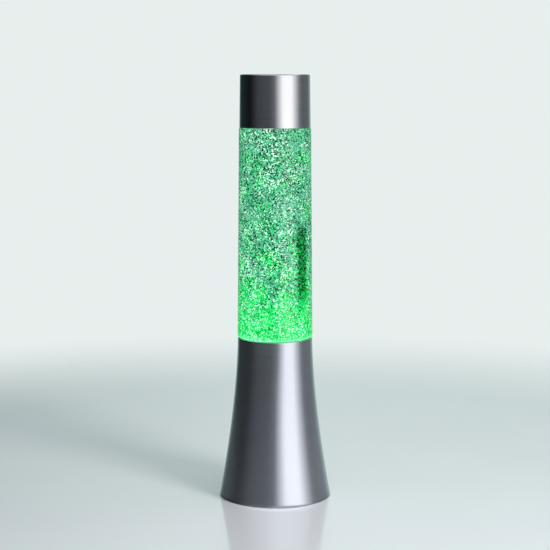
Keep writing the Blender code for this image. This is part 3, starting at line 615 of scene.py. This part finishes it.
def build_cap(material):
    """The spun cup: straight rolled rim at the seam, slight taper, small round at the top."""
    low = CAP_LOW.z
    top = CAP_HIGH.z
    low_radius = CAP_HIGH.x
    high_radius = 32.3
    corner = 1.4
    lip = 0.35
    inner_top = top - SHEET
    inner_radius = high_radius - SHEET
    inner_corner = 0.8
    outside = [(0.0, top)]
    outside += [(high_radius * share, top) for share in (0.3, 0.6, 0.85)]
    outside += arc((high_radius - corner, top - corner), corner, 90, 0, 10)
    outside += straight((high_radius, top - corner), (low_radius, low + lip))
    outside += arc((low_radius - lip, low + lip), lip, 0, -90, 4)
    inside = arc((low_radius - SHEET + lip, low + lip), lip, 270, 180, 4)
    inside += [(inner_radius, inner_top - inner_corner), (inner_radius - inner_corner, inner_top)]
    inside.append((0.0, inner_top))
    piece = turned("cap_metal", outside + inside, material, segments=256)
    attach(piece, "cap")
    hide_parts("top_cap")


def inner_wall():
    """The bottle's inner surface, from the floor's edge up to the neck."""
    floor = BOTTLE_LOW.z + FLOOR_RISE
    foot = FOOT_RADIUS - GLASS_WALL
    foot_top = HEEL - 2.0
    bend = 3.0
    heel_bend = 2.5
    shoulder = (SHOULDER_RADIUS - GLASS_WALL, CAP_SEAM - 4.0)
    wall = arc((foot - bend, floor + bend), bend, -90, 0, 6)
    wall.append((foot, foot_top))
    wall += arc((foot + bend, foot_top), bend, 180, 130, 4)[1:]
    wall += arc((HEEL_RADIUS - GLASS_WALL - heel_bend, HEEL + 4.2), heel_bend, -50, 0, 4)
    wall += straight(wall[-1], shoulder)
    wall += [shoulder, (COLLAR_RADIUS - GLASS_WALL, CAP_SEAM + 3.0)]
    wall += ellipse(wall[-1], (NECK_BORE, NECK_START - GLASS_WALL), 16)
    return wall


def build_bottle(material):
    """Clear glass: beaded mouth, neck, collar, long body, heel, and a foot with a dished underside."""
    low = BOTTLE_LOW.z
    ledge = CAP_SEAM - 0.3
    bead = 1.0
    bead_middle = NECK_TUBE_RADIUS + 0.1
    shoulder = 0.6
    heel = 2.2
    foot = 2.4
    dish = 3.0
    outside = arc((bead_middle, MOUTH - bead), bead, 90, 0, 4)
    outside += arc((bead_middle, MOUTH - 4.5), bead, 0, -60, 4)
    outside.append((NECK_TUBE_RADIUS, MOUTH - 5.8))
    outside += reversed(ellipse((COLLAR_RADIUS, COLLAR_TOP), (NECK_TUBE_RADIUS, NECK_START), 20))
    outside += [(COLLAR_RADIUS, COLLAR_TOP), (COLLAR_RADIUS, ledge)]
    outside += arc((SHOULDER_RADIUS - shoulder, ledge - shoulder), shoulder, 90, 0, 5)
    outside += straight(outside[-1], (HEEL_RADIUS, HEEL + heel))
    outside += arc((HEEL_RADIUS - heel, HEEL + heel), heel, 0, -90, 10)
    outside += [(FOOT_RADIUS + 0.6, HEEL), (FOOT_RADIUS, HEEL - 0.8)]
    outside += arc((FOOT_RADIUS - foot, low + foot), foot, 0, -90, 8)
    outside += [(FOOT_RADIUS - 5.0, low), (FOOT_RADIUS - 7.0, low + 0.9)]
    outside += [(FOOT_RADIUS - 14.0, low + dish - 0.5), (0.0, low + dish)]
    inside = [(0.0, low + FLOOR_RISE), *inner_wall(), (NECK_BORE, MOUTH - 0.6), (NECK_BORE + 0.5, MOUTH)]
    piece = turned("bottle_clear_glass", inside + outside, material, segments=256)
    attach(piece, "bottle")
    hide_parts("bottle")


def liquid_wall(inset):
    """A wall set in from the glass's inner surface, up to the neck."""
    return [(r - inset, z) for r, z in inner_wall() if z < NECK_START - GLASS_WALL - 0.2]


def build_liquid(material):
    """The liquid laps into the glass by a hair, so that no air shows between them."""
    lap = 0.12
    wall = liquid_wall(-lap)
    low = wall[0][1] - lap
    top = LIQUID_HIGH.z
    profile = [(0.0, top), (NECK_BORE + lap, top), *reversed(wall), (0.0, low)]
    piece = turned("clear_liquid", profile, material, segments=192)
    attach(piece, "bottle")
    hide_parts("bottle_liquid")


def build_cloud(material):
    """The mass of glitter, a solid set in from the glass, from above the floor up to the neck."""
    lowest = BOTTLE_LOW.z + 12.0
    narrowest = 4.0
    bottom_edge = 3.0
    wall = [(r, z) for r, z in liquid_wall(CLOUD_INSET) if z > lowest and r > narrowest]
    low = wall[0][1] - bottom_edge
    top = wall[-1][1] + 1.0
    profile = [(0.0, top), *reversed(wall), (wall[0][0] - bottom_edge, low), (0.0, low)]
    piece = turned("glitter_cloud", profile, material, segments=128)
    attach(piece, "bottle")


def wall_radius(z):
    """How far from the axis a flake may be at a height, clear of the glass."""
    clearance = 0.5
    points = liquid_wall(clearance)
    return np.interp(z, [p[1] for p in points], [p[0] for p in points])


def leaning_turns(rng, outward, spread):
    """Rotations whose third axis leans away from the given directions by chance, with any spin."""
    normal = outward + rng.normal(scale=spread, size=outward.shape)
    normal /= np.linalg.norm(normal, axis=1, keepdims=True)
    side = np.cross(normal, rng.normal(size=outward.shape))
    side /= np.linalg.norm(side, axis=1, keepdims=True)
    return np.stack([side, np.cross(normal, side), normal], axis=2)


def flake_mesh(rng, name, centres, turns, material):
    """Thin six-sided flakes, very slightly domed, each a closed solid with one shade and one hue, which set
    its painted shade and painted glint. The darkest and the brightest are the largest, and the brightest
    are slivers."""
    sides = 6
    half_thickness = 0.03
    count = len(centres)
    shades = rng.uniform(0, 1, count)
    hues = rng.uniform(0, 1, count)
    bright = shades > 0.91
    dark = shades < 0.2
    radii = rng.uniform(0.28, 0.54, count) + 0.14 * bright + 0.32 * dark
    stretch = 1.0 + bright * rng.uniform(0.0, 1.0, count)
    angles = np.arange(sides) * math.tau / sides
    plate = np.zeros((sides + 2, 3))
    plate[:sides, 0] = np.cos(angles)
    plate[:sides, 1] = np.sin(angles)
    sizes = np.stack([radii * stretch, radii / stretch, np.ones(count)], axis=1)
    points = plate[None] * sizes[:, None]
    points[:, sides, 2] = half_thickness
    points[:, sides + 1, 2] = -half_thickness
    points = np.einsum("nij,nkj->nki", turns, points) + centres[:, None]
    faces = [[k, (k + 1) % sides, sides] for k in range(sides)]
    faces += [[(k + 1) % sides, k, sides + 1] for k in range(sides)]
    corners = np.arange(count)[:, None] * (sides + 2) + np.concatenate(faces)[None]
    mesh = bpy.data.meshes.new(name)
    mesh.vertices.add(count * (sides + 2))
    mesh.vertices.foreach_set("co", (points * MM).astype(np.float32).ravel())
    mesh.loops.add(corners.size)
    mesh.loops.foreach_set("vertex_index", corners.ravel().astype(np.int32))
    mesh.polygons.add(count * len(faces))
    mesh.polygons.foreach_set("loop_start", np.arange(count * len(faces), dtype=np.int32) * 3)
    mesh.update(calc_edges=True)
    for kind, values in (("shade", shades), ("hue", hues)):
        values = np.repeat(values, len(faces)).astype(np.float32)
        mesh.attributes.new(kind, "FLOAT", "FACE").data.foreach_set("value", values)
    return link_mesh(name, mesh, material)


def round_the_axis(radius, angle, z):
    """Points from their distance to the axis, their angle round it and their height."""
    return np.stack([radius * np.cos(angle), radius * np.sin(angle), z], axis=1)


def build_flakes(material):
    """Flakes afloat between the cloud and the glass, in bands from the heel up to the shoulder."""
    rng = np.random.default_rng(SEED)
    low = HEEL - 6.0
    high = CAP_SEAM + 8.0
    least_depth = 0.2
    most_depth = CLOUD_INSET - 0.5
    for band in range(BANDS):
        bottom = low + (high - low) * band / BANDS
        top = low + (high - low) * (band + 1) / BANDS
        z = rng.uniform(bottom, top, FLAKES_A_BAND)
        depth = rng.uniform(least_depth, most_depth, FLAKES_A_BAND)
        radius = wall_radius(z) - depth
        angle = rng.uniform(0, math.tau, FLAKES_A_BAND)
        centres = round_the_axis(radius, angle, z)
        outward = centres * (1.0, 1.0, 0.0) / radius[:, None]
        turns = leaning_turns(rng, outward, spread=0.6)
        piece = flake_mesh(rng, f"flakes_band_{band + 1}", centres, turns, material)
        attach(piece, "bottle")


def build_settled_flakes(material):
    """Flakes that lie on the bottle's floor, in place of the CAD's flat bed."""
    rng = np.random.default_rng(SEED + 1)
    low, high = corners_of("glitter_bed")
    count = SETTLED_FLAKES
    bed_radius = high.x - 0.9
    radius = np.sqrt(rng.uniform(0, 1, count)) * bed_radius
    angle = rng.uniform(0, math.tau, count)
    z = rng.uniform(low.z + 0.35, high.z - 0.3, count)
    centres = round_the_axis(radius, angle, z)
    turns = leaning_turns(rng, np.tile((0.0, 0.0, 1.0), (count, 1)), spread=0.15)
    piece = flake_mesh(rng, "settled_flakes", centres, turns, material)
    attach(piece, "bottle")
    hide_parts("glitter_bed")


def build_crown(material):
    """A pressed crown: a flat roof with a shallow panel, and a skirt in 21 flutes."""
    flutes = 21
    flute_depth = 0.62
    flute_height = 4.2
    roof = MOUTH + 2.6
    flute_top = roof - 1.2
    panel = roof - 0.25
    inner_roof = roof - 0.72
    skirt = NECK_TUBE_RADIUS + 1.5
    outside = [(0.0, panel), (skirt - 4.2, panel), (skirt - 3.6, roof)]
    outside += arc((skirt - 1.1, roof - 1.3), 1.3, 90, 15, 6)
    outside += [(skirt + 0.7, roof - 3.0), (skirt + 1.1, MOUTH - 2.4), (skirt + 1.55, MOUTH - 3.7)]
    inside = [(skirt + 1.1, MOUTH - 3.8), (skirt + 0.6, MOUTH - 2.4), (skirt + 0.1, roof - 2.6)]
    inside += [(skirt - 1.6, inner_roof), (0.0, inner_roof)]
    piece = turned("fluted_crown", outside + inside, material, segments=flutes * 12)
    for vertex in piece.data.vertices:
        x, y, z = vertex.co
        depth = flute_depth * min(1.0, max(0.0, (flute_top - z / MM) / flute_height))
        wave = 0.5 - 0.5 * math.cos(flutes * math.atan2(y, x))
        pull = 1.0 - depth * MM * wave / max(math.hypot(x, y), MM)
        vertex.co = (x * pull, y * pull, z)
    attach(piece, "bottle")
    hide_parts("crown_closure")


def build_feet(material):
    """Stick-on rubber feet with a rounded edge and a dished face."""
    edge = 0.6
    for number in range(1, 5):
        low, high = corners_of(f"rubber_foot_{number}")
        radius = (high.x - low.x) / 2
        profile = [(0.0, high.z), (radius, high.z)]
        profile += arc((radius - edge, low.z + edge), edge, 0, -90, 6)
        profile += [(radius - 1.6, low.z), (radius - 2.0, low.z + 0.25), (0.0, low.z + 0.3)]
        piece = turned(f"soft_foot_{number}", profile, material, segments=64)
        centre_on(piece, low, high)
        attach(piece, "base")
        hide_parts(f"rubber_foot_{number}")


def carve(piece, cutter):
    """Cuts one closed mesh out of another, for good."""
    modifier = piece.modifiers.new("carve", "BOOLEAN")
    modifier.object = cutter
    modifier.solver = "EXACT"
    graph = bpy.context.evaluated_depsgraph_get()
    mesh = bpy.data.meshes.new_from_object(piece.evaluated_get(graph))
    piece.modifiers.clear()
    piece.data = mesh
    bpy.data.objects.remove(cutter)


def block(name, low, high, bevel, material):
    """A box with rounded edges, between two corners in millimetres."""
    mesh = bpy.data.meshes.new(name)
    bm = bmesh.new()
    bmesh.ops.create_cube(bm, size=1.0)
    for vertex in bm.verts:
        vertex.co = [(low[i] + (vertex.co[i] + 0.5) * (high[i] - low[i])) * MM for i in range(3)]
    if bevel > 0.0:
        bmesh.ops.bevel(bm, geom=bm.edges, offset=bevel * MM, segments=3, affect="EDGES", profile=0.5)
    bm.to_mesh(mesh)
    bm.free()
    mesh.shade_smooth()
    mesh.set_sharp_from_angle(angle=math.radians(35))
    return link_mesh(name, mesh, material)


def joined(pieces):
    """Puts several meshes into the first one's object."""
    first = pieces[0]
    bm = bmesh.new()
    for piece in pieces:
        bm.from_mesh(piece.data)
    bm.to_mesh(first.data)
    bm.free()
    for piece in pieces[1:]:
        bpy.data.objects.remove(piece)
    first.data.set_sharp_from_angle(angle=math.radians(35))
    return first


def build_plate_screws(material):
    """Pan-head screws with a domed, cross-cut head."""
    shaft = 1.4
    head_height = 1.0
    head_round = 0.7
    thread_pitch = 1.05
    thread_depth = 0.22
    slot_long = 1.7
    slot_wide = 0.32
    slot_depth = 0.62
    for number in range(1, 4):
        low, high = corners_of(f"plate_screw_{number}")
        head = (high.x - low.x) / 2
        profile = [(0.0, high.z), (shaft * 0.5, high.z), (shaft, high.z - 1.2)]
        for turn in range(10):
            z = high.z - 1.6 - turn * thread_pitch
            profile += [(shaft, z), (shaft - thread_depth, z - 0.5)]
        profile += [(shaft, low.z + head_height), (head, low.z + head_height), (head, low.z + head_round)]
        profile += arc((head - head_round, low.z + head_round), head_round, -15, -75, 4)
        profile += [(head * 0.5, low.z), (0.0, low.z)]
        piece = turned(f"pan_screw_{number}", profile, material, segments=48)
        for x, y in ((slot_long, slot_wide), (slot_wide, slot_long)):
            cross = block("cross", (-x, -y, low.z - 1.0), (x, y, low.z + slot_depth), 0.0, material)
            carve(piece, cross)
        centre_on(piece, low, high)
        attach(piece, "base")
        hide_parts(f"plate_screw_{number}")


def build_cells(material):
    """Plain cells with a rolled sleeve at each end, a nub and its insulating groove."""
    lip = 0.45
    nub_radius = 2.75
    sleeve_bore = CELL_RADIUS - 1.3
    for number, way in enumerate((1, -1, 1), start=1):
        low, high = corners_of(f"cell_{number}")
        nub = high.y - low.y
        profile = [(0.0, nub), (2.2, nub), (nub_radius, nub - 0.4), (nub_radius, CELL_LENGTH - 0.3)]
        profile += [(4.6, CELL_LENGTH - 0.3), (4.9, CELL_LENGTH - 0.1), (sleeve_bore, CELL_LENGTH - 0.1)]
        profile += arc((CELL_RADIUS - lip, CELL_LENGTH - lip), lip, 120, 0, 6)
        profile += arc((CELL_RADIUS - lip, lip), lip, 0, -120, 6)
        profile += [(sleeve_bore, 0.25), (3.6, 0.25), (3.2, 0.05), (0.0, 0.05)]
        piece = turned(f"plain_cell_{number}", profile, material, segments=96)
        piece.rotation_euler = (math.radians(-90 * way), 0.0, 0.0)
        start = low.y if way > 0 else high.y
        piece.location = ((number - 2) * CELL_PITCH * MM, start * MM, CELL_Z * MM)
        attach(piece, "base")
        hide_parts(f"cell_{number}")


def build_door(material):
    """The battery cover: rounded edges, a grooved thumb patch, a tongue, hinge hooks and three ribs."""
    low, high = corners_of("battery_door")
    back = 30.0
    top = low.z + 1.8
    cover = block("door_cover", (low.x, -back, low.z), (high.x, back, top), 0.35, material)
    groove_width = 0.9
    groove_depth = 0.55
    groove_half_length = 7.0
    for groove in range(5):
        middle = back - 12.0 + 2 * groove_width * groove
        y_low = middle - groove_width / 2
        y_high = middle + groove_width / 2
        start = (-groove_half_length, y_low, low.z - 1.0)
        end = (groove_half_length, y_high, low.z + groove_depth)
        carve(cover, block("groove", start, end, 0.0, material))
    parts = [cover, block("tongue", (-5.0, back - 2.4, low.z), (5.0, high.y, low.z + 1.4), 0.3, material)]
    arm_half_width = 2.2
    for side in (-1, 1):
        left = side * CELL_PITCH / 2 - arm_half_width
        right = side * CELL_PITCH / 2 + arm_half_width
        arm = (left, -back, low.z + 0.4), (right, -back + 4.0, low.z + 4.0)
        lip = (left, low.y, high.z - 1.2), (right, -back + 3.4, high.z)
        parts += [block("arm", *arm, 0.25, material), block("lip", *lip, 0.25, material)]
    for number in (-1, 0, 1):
        x = number * CELL_PITCH
        rib = (x - 0.4, -22.0, top - 0.2), (x + 0.4, 22.0, top + 0.5)
        parts.append(block("rib", *rib, 0.12, material))
    piece = joined(parts)
    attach(piece, "battery_door")
    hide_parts("battery_door")


def build_knob(material):
    """The switch's knob: a stem and a thumb pad with three ridges."""
    low, high = corners_of("switch_knob")
    middle = (low + high) / 2
    pad = (low.x, low.y, low.z + 0.25), (high.x, high.y, low.z + 1.4)
    stem = (middle.x - 1.6, middle.y - 1.0, low.z + 1.0), (middle.x + 1.6, middle.y + 1.0, high.z)
    parts = [block("ridged_knob", *pad, 0.2, material), block("stem", *stem, 0.1, material)]
    for number in (-1, 0, 1):
        x = middle.x + number * 1.05
        ridge = (x - 0.3, low.y + 0.15, low.z), (x + 0.3, high.y - 0.15, low.z + 0.6)
        parts.append(block("ridge", *ridge, 0.12, material))
    piece = joined(parts)
    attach(piece, "switch_knob")
    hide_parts("switch_knob")


# Studio. Angles round the lamp are 0 at the front and grow towards the right.


def build_floor():
    """A pale glossy floor, which fades out towards its rim. It is open under the lamp and clear from
    below, so that the underside can be seen, and the metal mirrors it at 35% of its strength."""
    opening = 0.046
    fade_start = 0.45
    fade_end = 0.95
    lost_in_mirrors = 0.65
    bm = bmesh.new()
    rim = bm.verts.new((fade_end, 0.0, 0.0))
    hole = bm.verts.new((opening, 0.0, 0.0))
    spoke = bm.edges.new((hole, rim))
    bmesh.ops.spin(bm, geom=[rim, hole, spoke], axis=(0, 0, 1), angle=math.tau, steps=96, use_merge=True)
    for face in bm.faces:
        if face.normal.z < 0.0:
            face.normal_flip()
    mesh = bpy.data.meshes.new("studio_floor")
    bm.to_mesh(mesh)
    bm.free()
    material, n, shader = new_material(
        "studio_floor", Roughness=0.3, Coat_Weight=1.0, Coat_Roughness=0.06, Coat_IOR=1.55
    )
    mottle = n.noise(n.place(), scale=6.0, detail=2.0)
    n.link(n.tint(mottle, (0.81, 0.82, 0.85), (0.84, 0.85, 0.88)), shader.inputs["Base Color"])
    edge = n.span(n.axis_distance(), 1.0, 0.0, fade_start, fade_end, smooth=True)
    above = n.maths("SUBTRACT", 1.0, n.add("NewGeometry").outputs["Backfacing"])
    mirrored = n.product(n.add("LightPath").outputs["Is Glossy Ray"], -lost_in_mirrors)
    seen = n.product(above, n.sum(1.0, mirrored))
    n.link(n.product(edge, seen), shader.inputs["Alpha"])
    floor = link_mesh("studio_floor", mesh, material)


BACKDROP = (0.80, 0.86, 0.85)
# What reflections see round the lamp at its own level: degrees from the front, and colour.
AROUND = (
    (-180, (0.56, 0.70, 0.66)),
    (-163, (0.16, 0.26, 0.24)),
    (-148, (0.02, 0.035, 0.033)),
    (-90, (0.006, 0.007, 0.009)),
    (-62, (0.044, 0.048, 0.056)),
    (-20, (0.066, 0.07, 0.08)),
    (-1, (0.17, 0.18, 0.20)),
    (13, (0.88, 0.90, 0.94)),
    (24, (1.5, 1.5, 1.52)),
    (54, (1.5, 1.5, 1.52)),
    (71, (0.70, 0.72, 0.76)),
    (86, (0.20, 0.21, 0.225)),
    (100, (0.13, 0.14, 0.15)),
    (135, (0.14, 0.17, 0.17)),
    (155, (0.34, 0.48, 0.45)),
    (180, (0.56, 0.70, 0.66)),
)
PANEL_AZIMUTH = math.radians(39)
SHEEN_AZIMUTH = math.radians(-38)
DOME = (1.14, 1.17, 1.22)
BELOW = (0.9, 0.92, 0.95)


def build_world():
    """A soft studio: pale to the eye. In reflections it has a tall soft panel at the right front, is
    dark at the left and right and pale behind the lamp. It is bright overhead, on the panel's side most,
    and pale below."""
    world = bpy.data.worlds.new("studio")
    SCENE.world = world
    world.use_nodes = True
    n = Nodes(world.node_tree)
    x, y, z = n.parts(n.add("TexCoord").outputs["Generated"])
    azimuth = n.maths("ARCTAN2", x, n.product(y, -1.0))

    # The ring of light round the lamp. Low down, what is left of the panel's middle turns 9 degrees to
    # the right, which narrows the panel.
    lean = n.span(z, math.radians(-9), 0.0, -0.08, 0.02, smooth=True)
    flank = n.span(azimuth, 1.0, 0.0, math.radians(30), math.radians(50))
    turned_azimuth = n.sum(azimuth, n.product(lean, flank))
    ring = n.ramp(
        n.span(turned_azimuth, 0.0, 1.0, -math.pi, math.pi),
        [((degrees + 180) / 360, colour) for degrees, colour in AROUND],
    )

    # A faint sheen at the left front. Low down it is green, which the metal just under the glass shows.
    from_sheen = n.maths("ABSOLUTE", n.sum(azimuth, -SHEEN_AZIMUTH))
    near = n.span(from_sheen, 1.0, 0.0, math.radians(12), math.radians(40), smooth=True)
    rise = n.span(z, 0.0, 1.0, -0.04, 0.2)
    ring = n.mix(n.product(rise, near), ring, (0.075, 0.079, 0.086), "ADD")
    fall = n.span(z, 1.0, 0.0, -0.19, -0.11)
    ring = n.mix(n.product(fall, near), ring, (0.05, 0.14, 0.10))

    # The panel ends in a dimmer strip above.
    from_panel = n.sum(azimuth, -PANEL_AZIMUTH)
    above = n.span(z, 0.0, 1.0, 0.14, 0.28, smooth=True)
    aside = n.maths("ABSOLUTE", from_panel)
    panel = n.span(aside, 1.0, 0.0, math.radians(30), math.radians(60), smooth=True)
    ring = n.mix(n.product(above, panel), ring, (0.42, 0.43, 0.45))

    # The dome overhead is brighter on the panel's side, and evenly dim at the zenith.
    dome = n.span(z, 0.0, 1.0, 0.5, 0.8, smooth=True)
    sway = n.span(z, 0.75, 0.0, 0.76, 0.94, smooth=True)
    zenith = n.span(z, 1.0, 0.4, 0.76, 0.94, smooth=True)
    level = n.sum(n.product(n.maths("COSINE", from_panel), sway), zenith)
    lighting = n.mix(dome, ring, n.mix(1.0, DOME, level, "MULTIPLY"))
    below = n.span(z, 1.0, 0.0, -0.6, -0.35, smooth=True)
    lighting = n.mix(below, lighting, BELOW)

    seen = n.mix(n.add("LightPath").outputs["Is Camera Ray"], lighting, BACKDROP)
    background = n.add("Background", Strength=1.0)
    n.link(seen, background.inputs["Color"])
    n.link(background.outputs[0], n.add("OutputWorld").inputs["Surface"])


def build_key_light():
    """A soft panel at the right front, turned to the lamp's middle. It throws a soft shadow to the left,
    and nothing mirrors it."""
    azimuth = math.radians(42)
    elevation = math.radians(26)
    distance = 1.6
    light = bpy.data.lights.new("key", "AREA")
    light.shape = "RECTANGLE"
    light.size = 0.5
    light.size_y = 0.8
    light.energy = 20.0
    obj = bpy.data.objects.new("key", light)
    SCENE.collection.objects.link(obj)
    forward = math.cos(elevation)
    away = Vector((math.sin(azimuth) * forward, -math.cos(azimuth) * forward, math.sin(elevation)))
    target = Vector((0.0, 0.0, (CAD_LOW.z + CAD_HIGH.z) / 2))
    obj.location = target + away * distance
    obj.rotation_mode = "QUATERNION"
    obj.rotation_quaternion = away.to_track_quat("Z", "Y")
    obj.visible_camera = False
    obj.visible_glossy = False
    obj.visible_transmission = False


def build_camera():
    """In front of the lamp at the height of its cap, turned slightly down."""
    distance = 1.415
    height = 0.388
    dip = 7.2
    camera = bpy.data.cameras.new("camera")
    camera.lens = 100.0
    camera.sensor_width = 36.0
    obj = bpy.data.objects.new("camera", camera)
    SCENE.collection.objects.link(obj)
    obj.location = (0.0, -distance, height)
    obj.rotation_euler = (math.radians(90.0 - dip), 0.0, 0.0)
    SCENE.camera = obj


# CAD nodes whose shapes stay.


def dress(material, *nodes):
    """Gives CAD nodes a better material."""
    for node in nodes:
        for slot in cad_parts[node].material_slots:
            slot.material = material


def numbered(name, count):
    """The names of pieces that are numbered from 1."""
    return [f"{name}_{number}" for number in range(1, count + 1)]


# The whole picture.

build_camera()
build_world()
build_floor()
build_key_light()
SCENE.view_settings.view_transform = "Standard"

base_metal = spun_metal(
    "base_satin", light=(0.62, 0.65, 0.695), dark=(0.56, 0.59, 0.635), roughness=0.17, metallic=0.94
)
cap_metal = spun_metal(
    "cap_satin", light=(0.70, 0.70, 0.72), dark=(0.65, 0.65, 0.67), roughness=0.18, metallic=1.0
)
build_base(base_metal)
build_cap(cap_metal)
build_bottle(clear_glass())
build_liquid(lamp_liquid())
build_cloud(glitter_cloud())
flakes = flake_metal()
build_flakes(flakes)
build_settled_flakes(flakes)

black = moulded("black_moulding", (0.010, 0.010, 0.011), (0.018, 0.018, 0.019), 0.42)
core = moulded("core_moulding", (0.016, 0.016, 0.017), (0.026, 0.026, 0.027), 0.5)
white = moulded("white_moulding", (0.60, 0.60, 0.57), (0.70, 0.70, 0.67), 0.35)
rubber = moulded(
    "black_rubber", (0.008, 0.008, 0.008), (0.016, 0.016, 0.016), 0.72, texture=2200.0, depth=0.00004
)
liner = moulded("seal_liner", (0.60, 0.59, 0.53), (0.70, 0.69, 0.62), 0.6)
smooth = {"texture": 700.0, "depth": 0.00001}
red_wire = moulded("red_sleeve", (0.48, 0.015, 0.01), (0.60, 0.03, 0.02), 0.35, **smooth)
black_wire = moulded("black_sleeve", (0.010, 0.010, 0.010), (0.02, 0.02, 0.02), 0.35, **smooth)
steel = plated("zinc_steel", (0.50, 0.50, 0.51), (0.66, 0.66, 0.66), 0.3)
tinplate = plated("crown_tinplate", (0.58, 0.58, 0.58), (0.72, 0.72, 0.71), 0.26)
film = plated("reflector_film", (0.80, 0.80, 0.80), (0.90, 0.90, 0.90), 0.12)
can = plated("switch_can", (0.55, 0.55, 0.54), (0.68, 0.68, 0.66), 0.35, stretch=(1.0, 6.0, 6.0))
spring = plated("spring_steel", (0.55, 0.55, 0.55), (0.75, 0.75, 0.74), 0.22)
nickel = plated("contact_nickel", (0.60, 0.58, 0.54), (0.74, 0.72, 0.68), 0.25, stretch=(0.2, 1.0, 6.0))

build_crown(tinplate)
build_feet(rubber)
build_plate_screws(steel)
build_cells(cell_jacket())
build_door(black)
build_knob(white)
dress(black, "bottle_socket", "bottom_plate", "battery_box")
dress(core, "inner_cone")
dress(rubber, "cushion_ring")
dress(lit_plastic(), "light_window")
dress(film, "reflector")
dress(board_laminate(), "led_board")
dress(led_lens(), *numbered("led", 3))
dress(resistor_body(), "resistor")
dress(liner, "crown_seal")
dress(can, "switch_body")
dress(spring, *numbered("cell_spring", 3))
dress(nickel, *numbered("contact_plate", 4))
dress(steel, *numbered("socket_screw", 3), *numbered("board_screw", 2), *numbered("box_screw", 2))
dress(red_wire, "wire_battery", "wire_switch")
dress(black_wire, "wire_return")
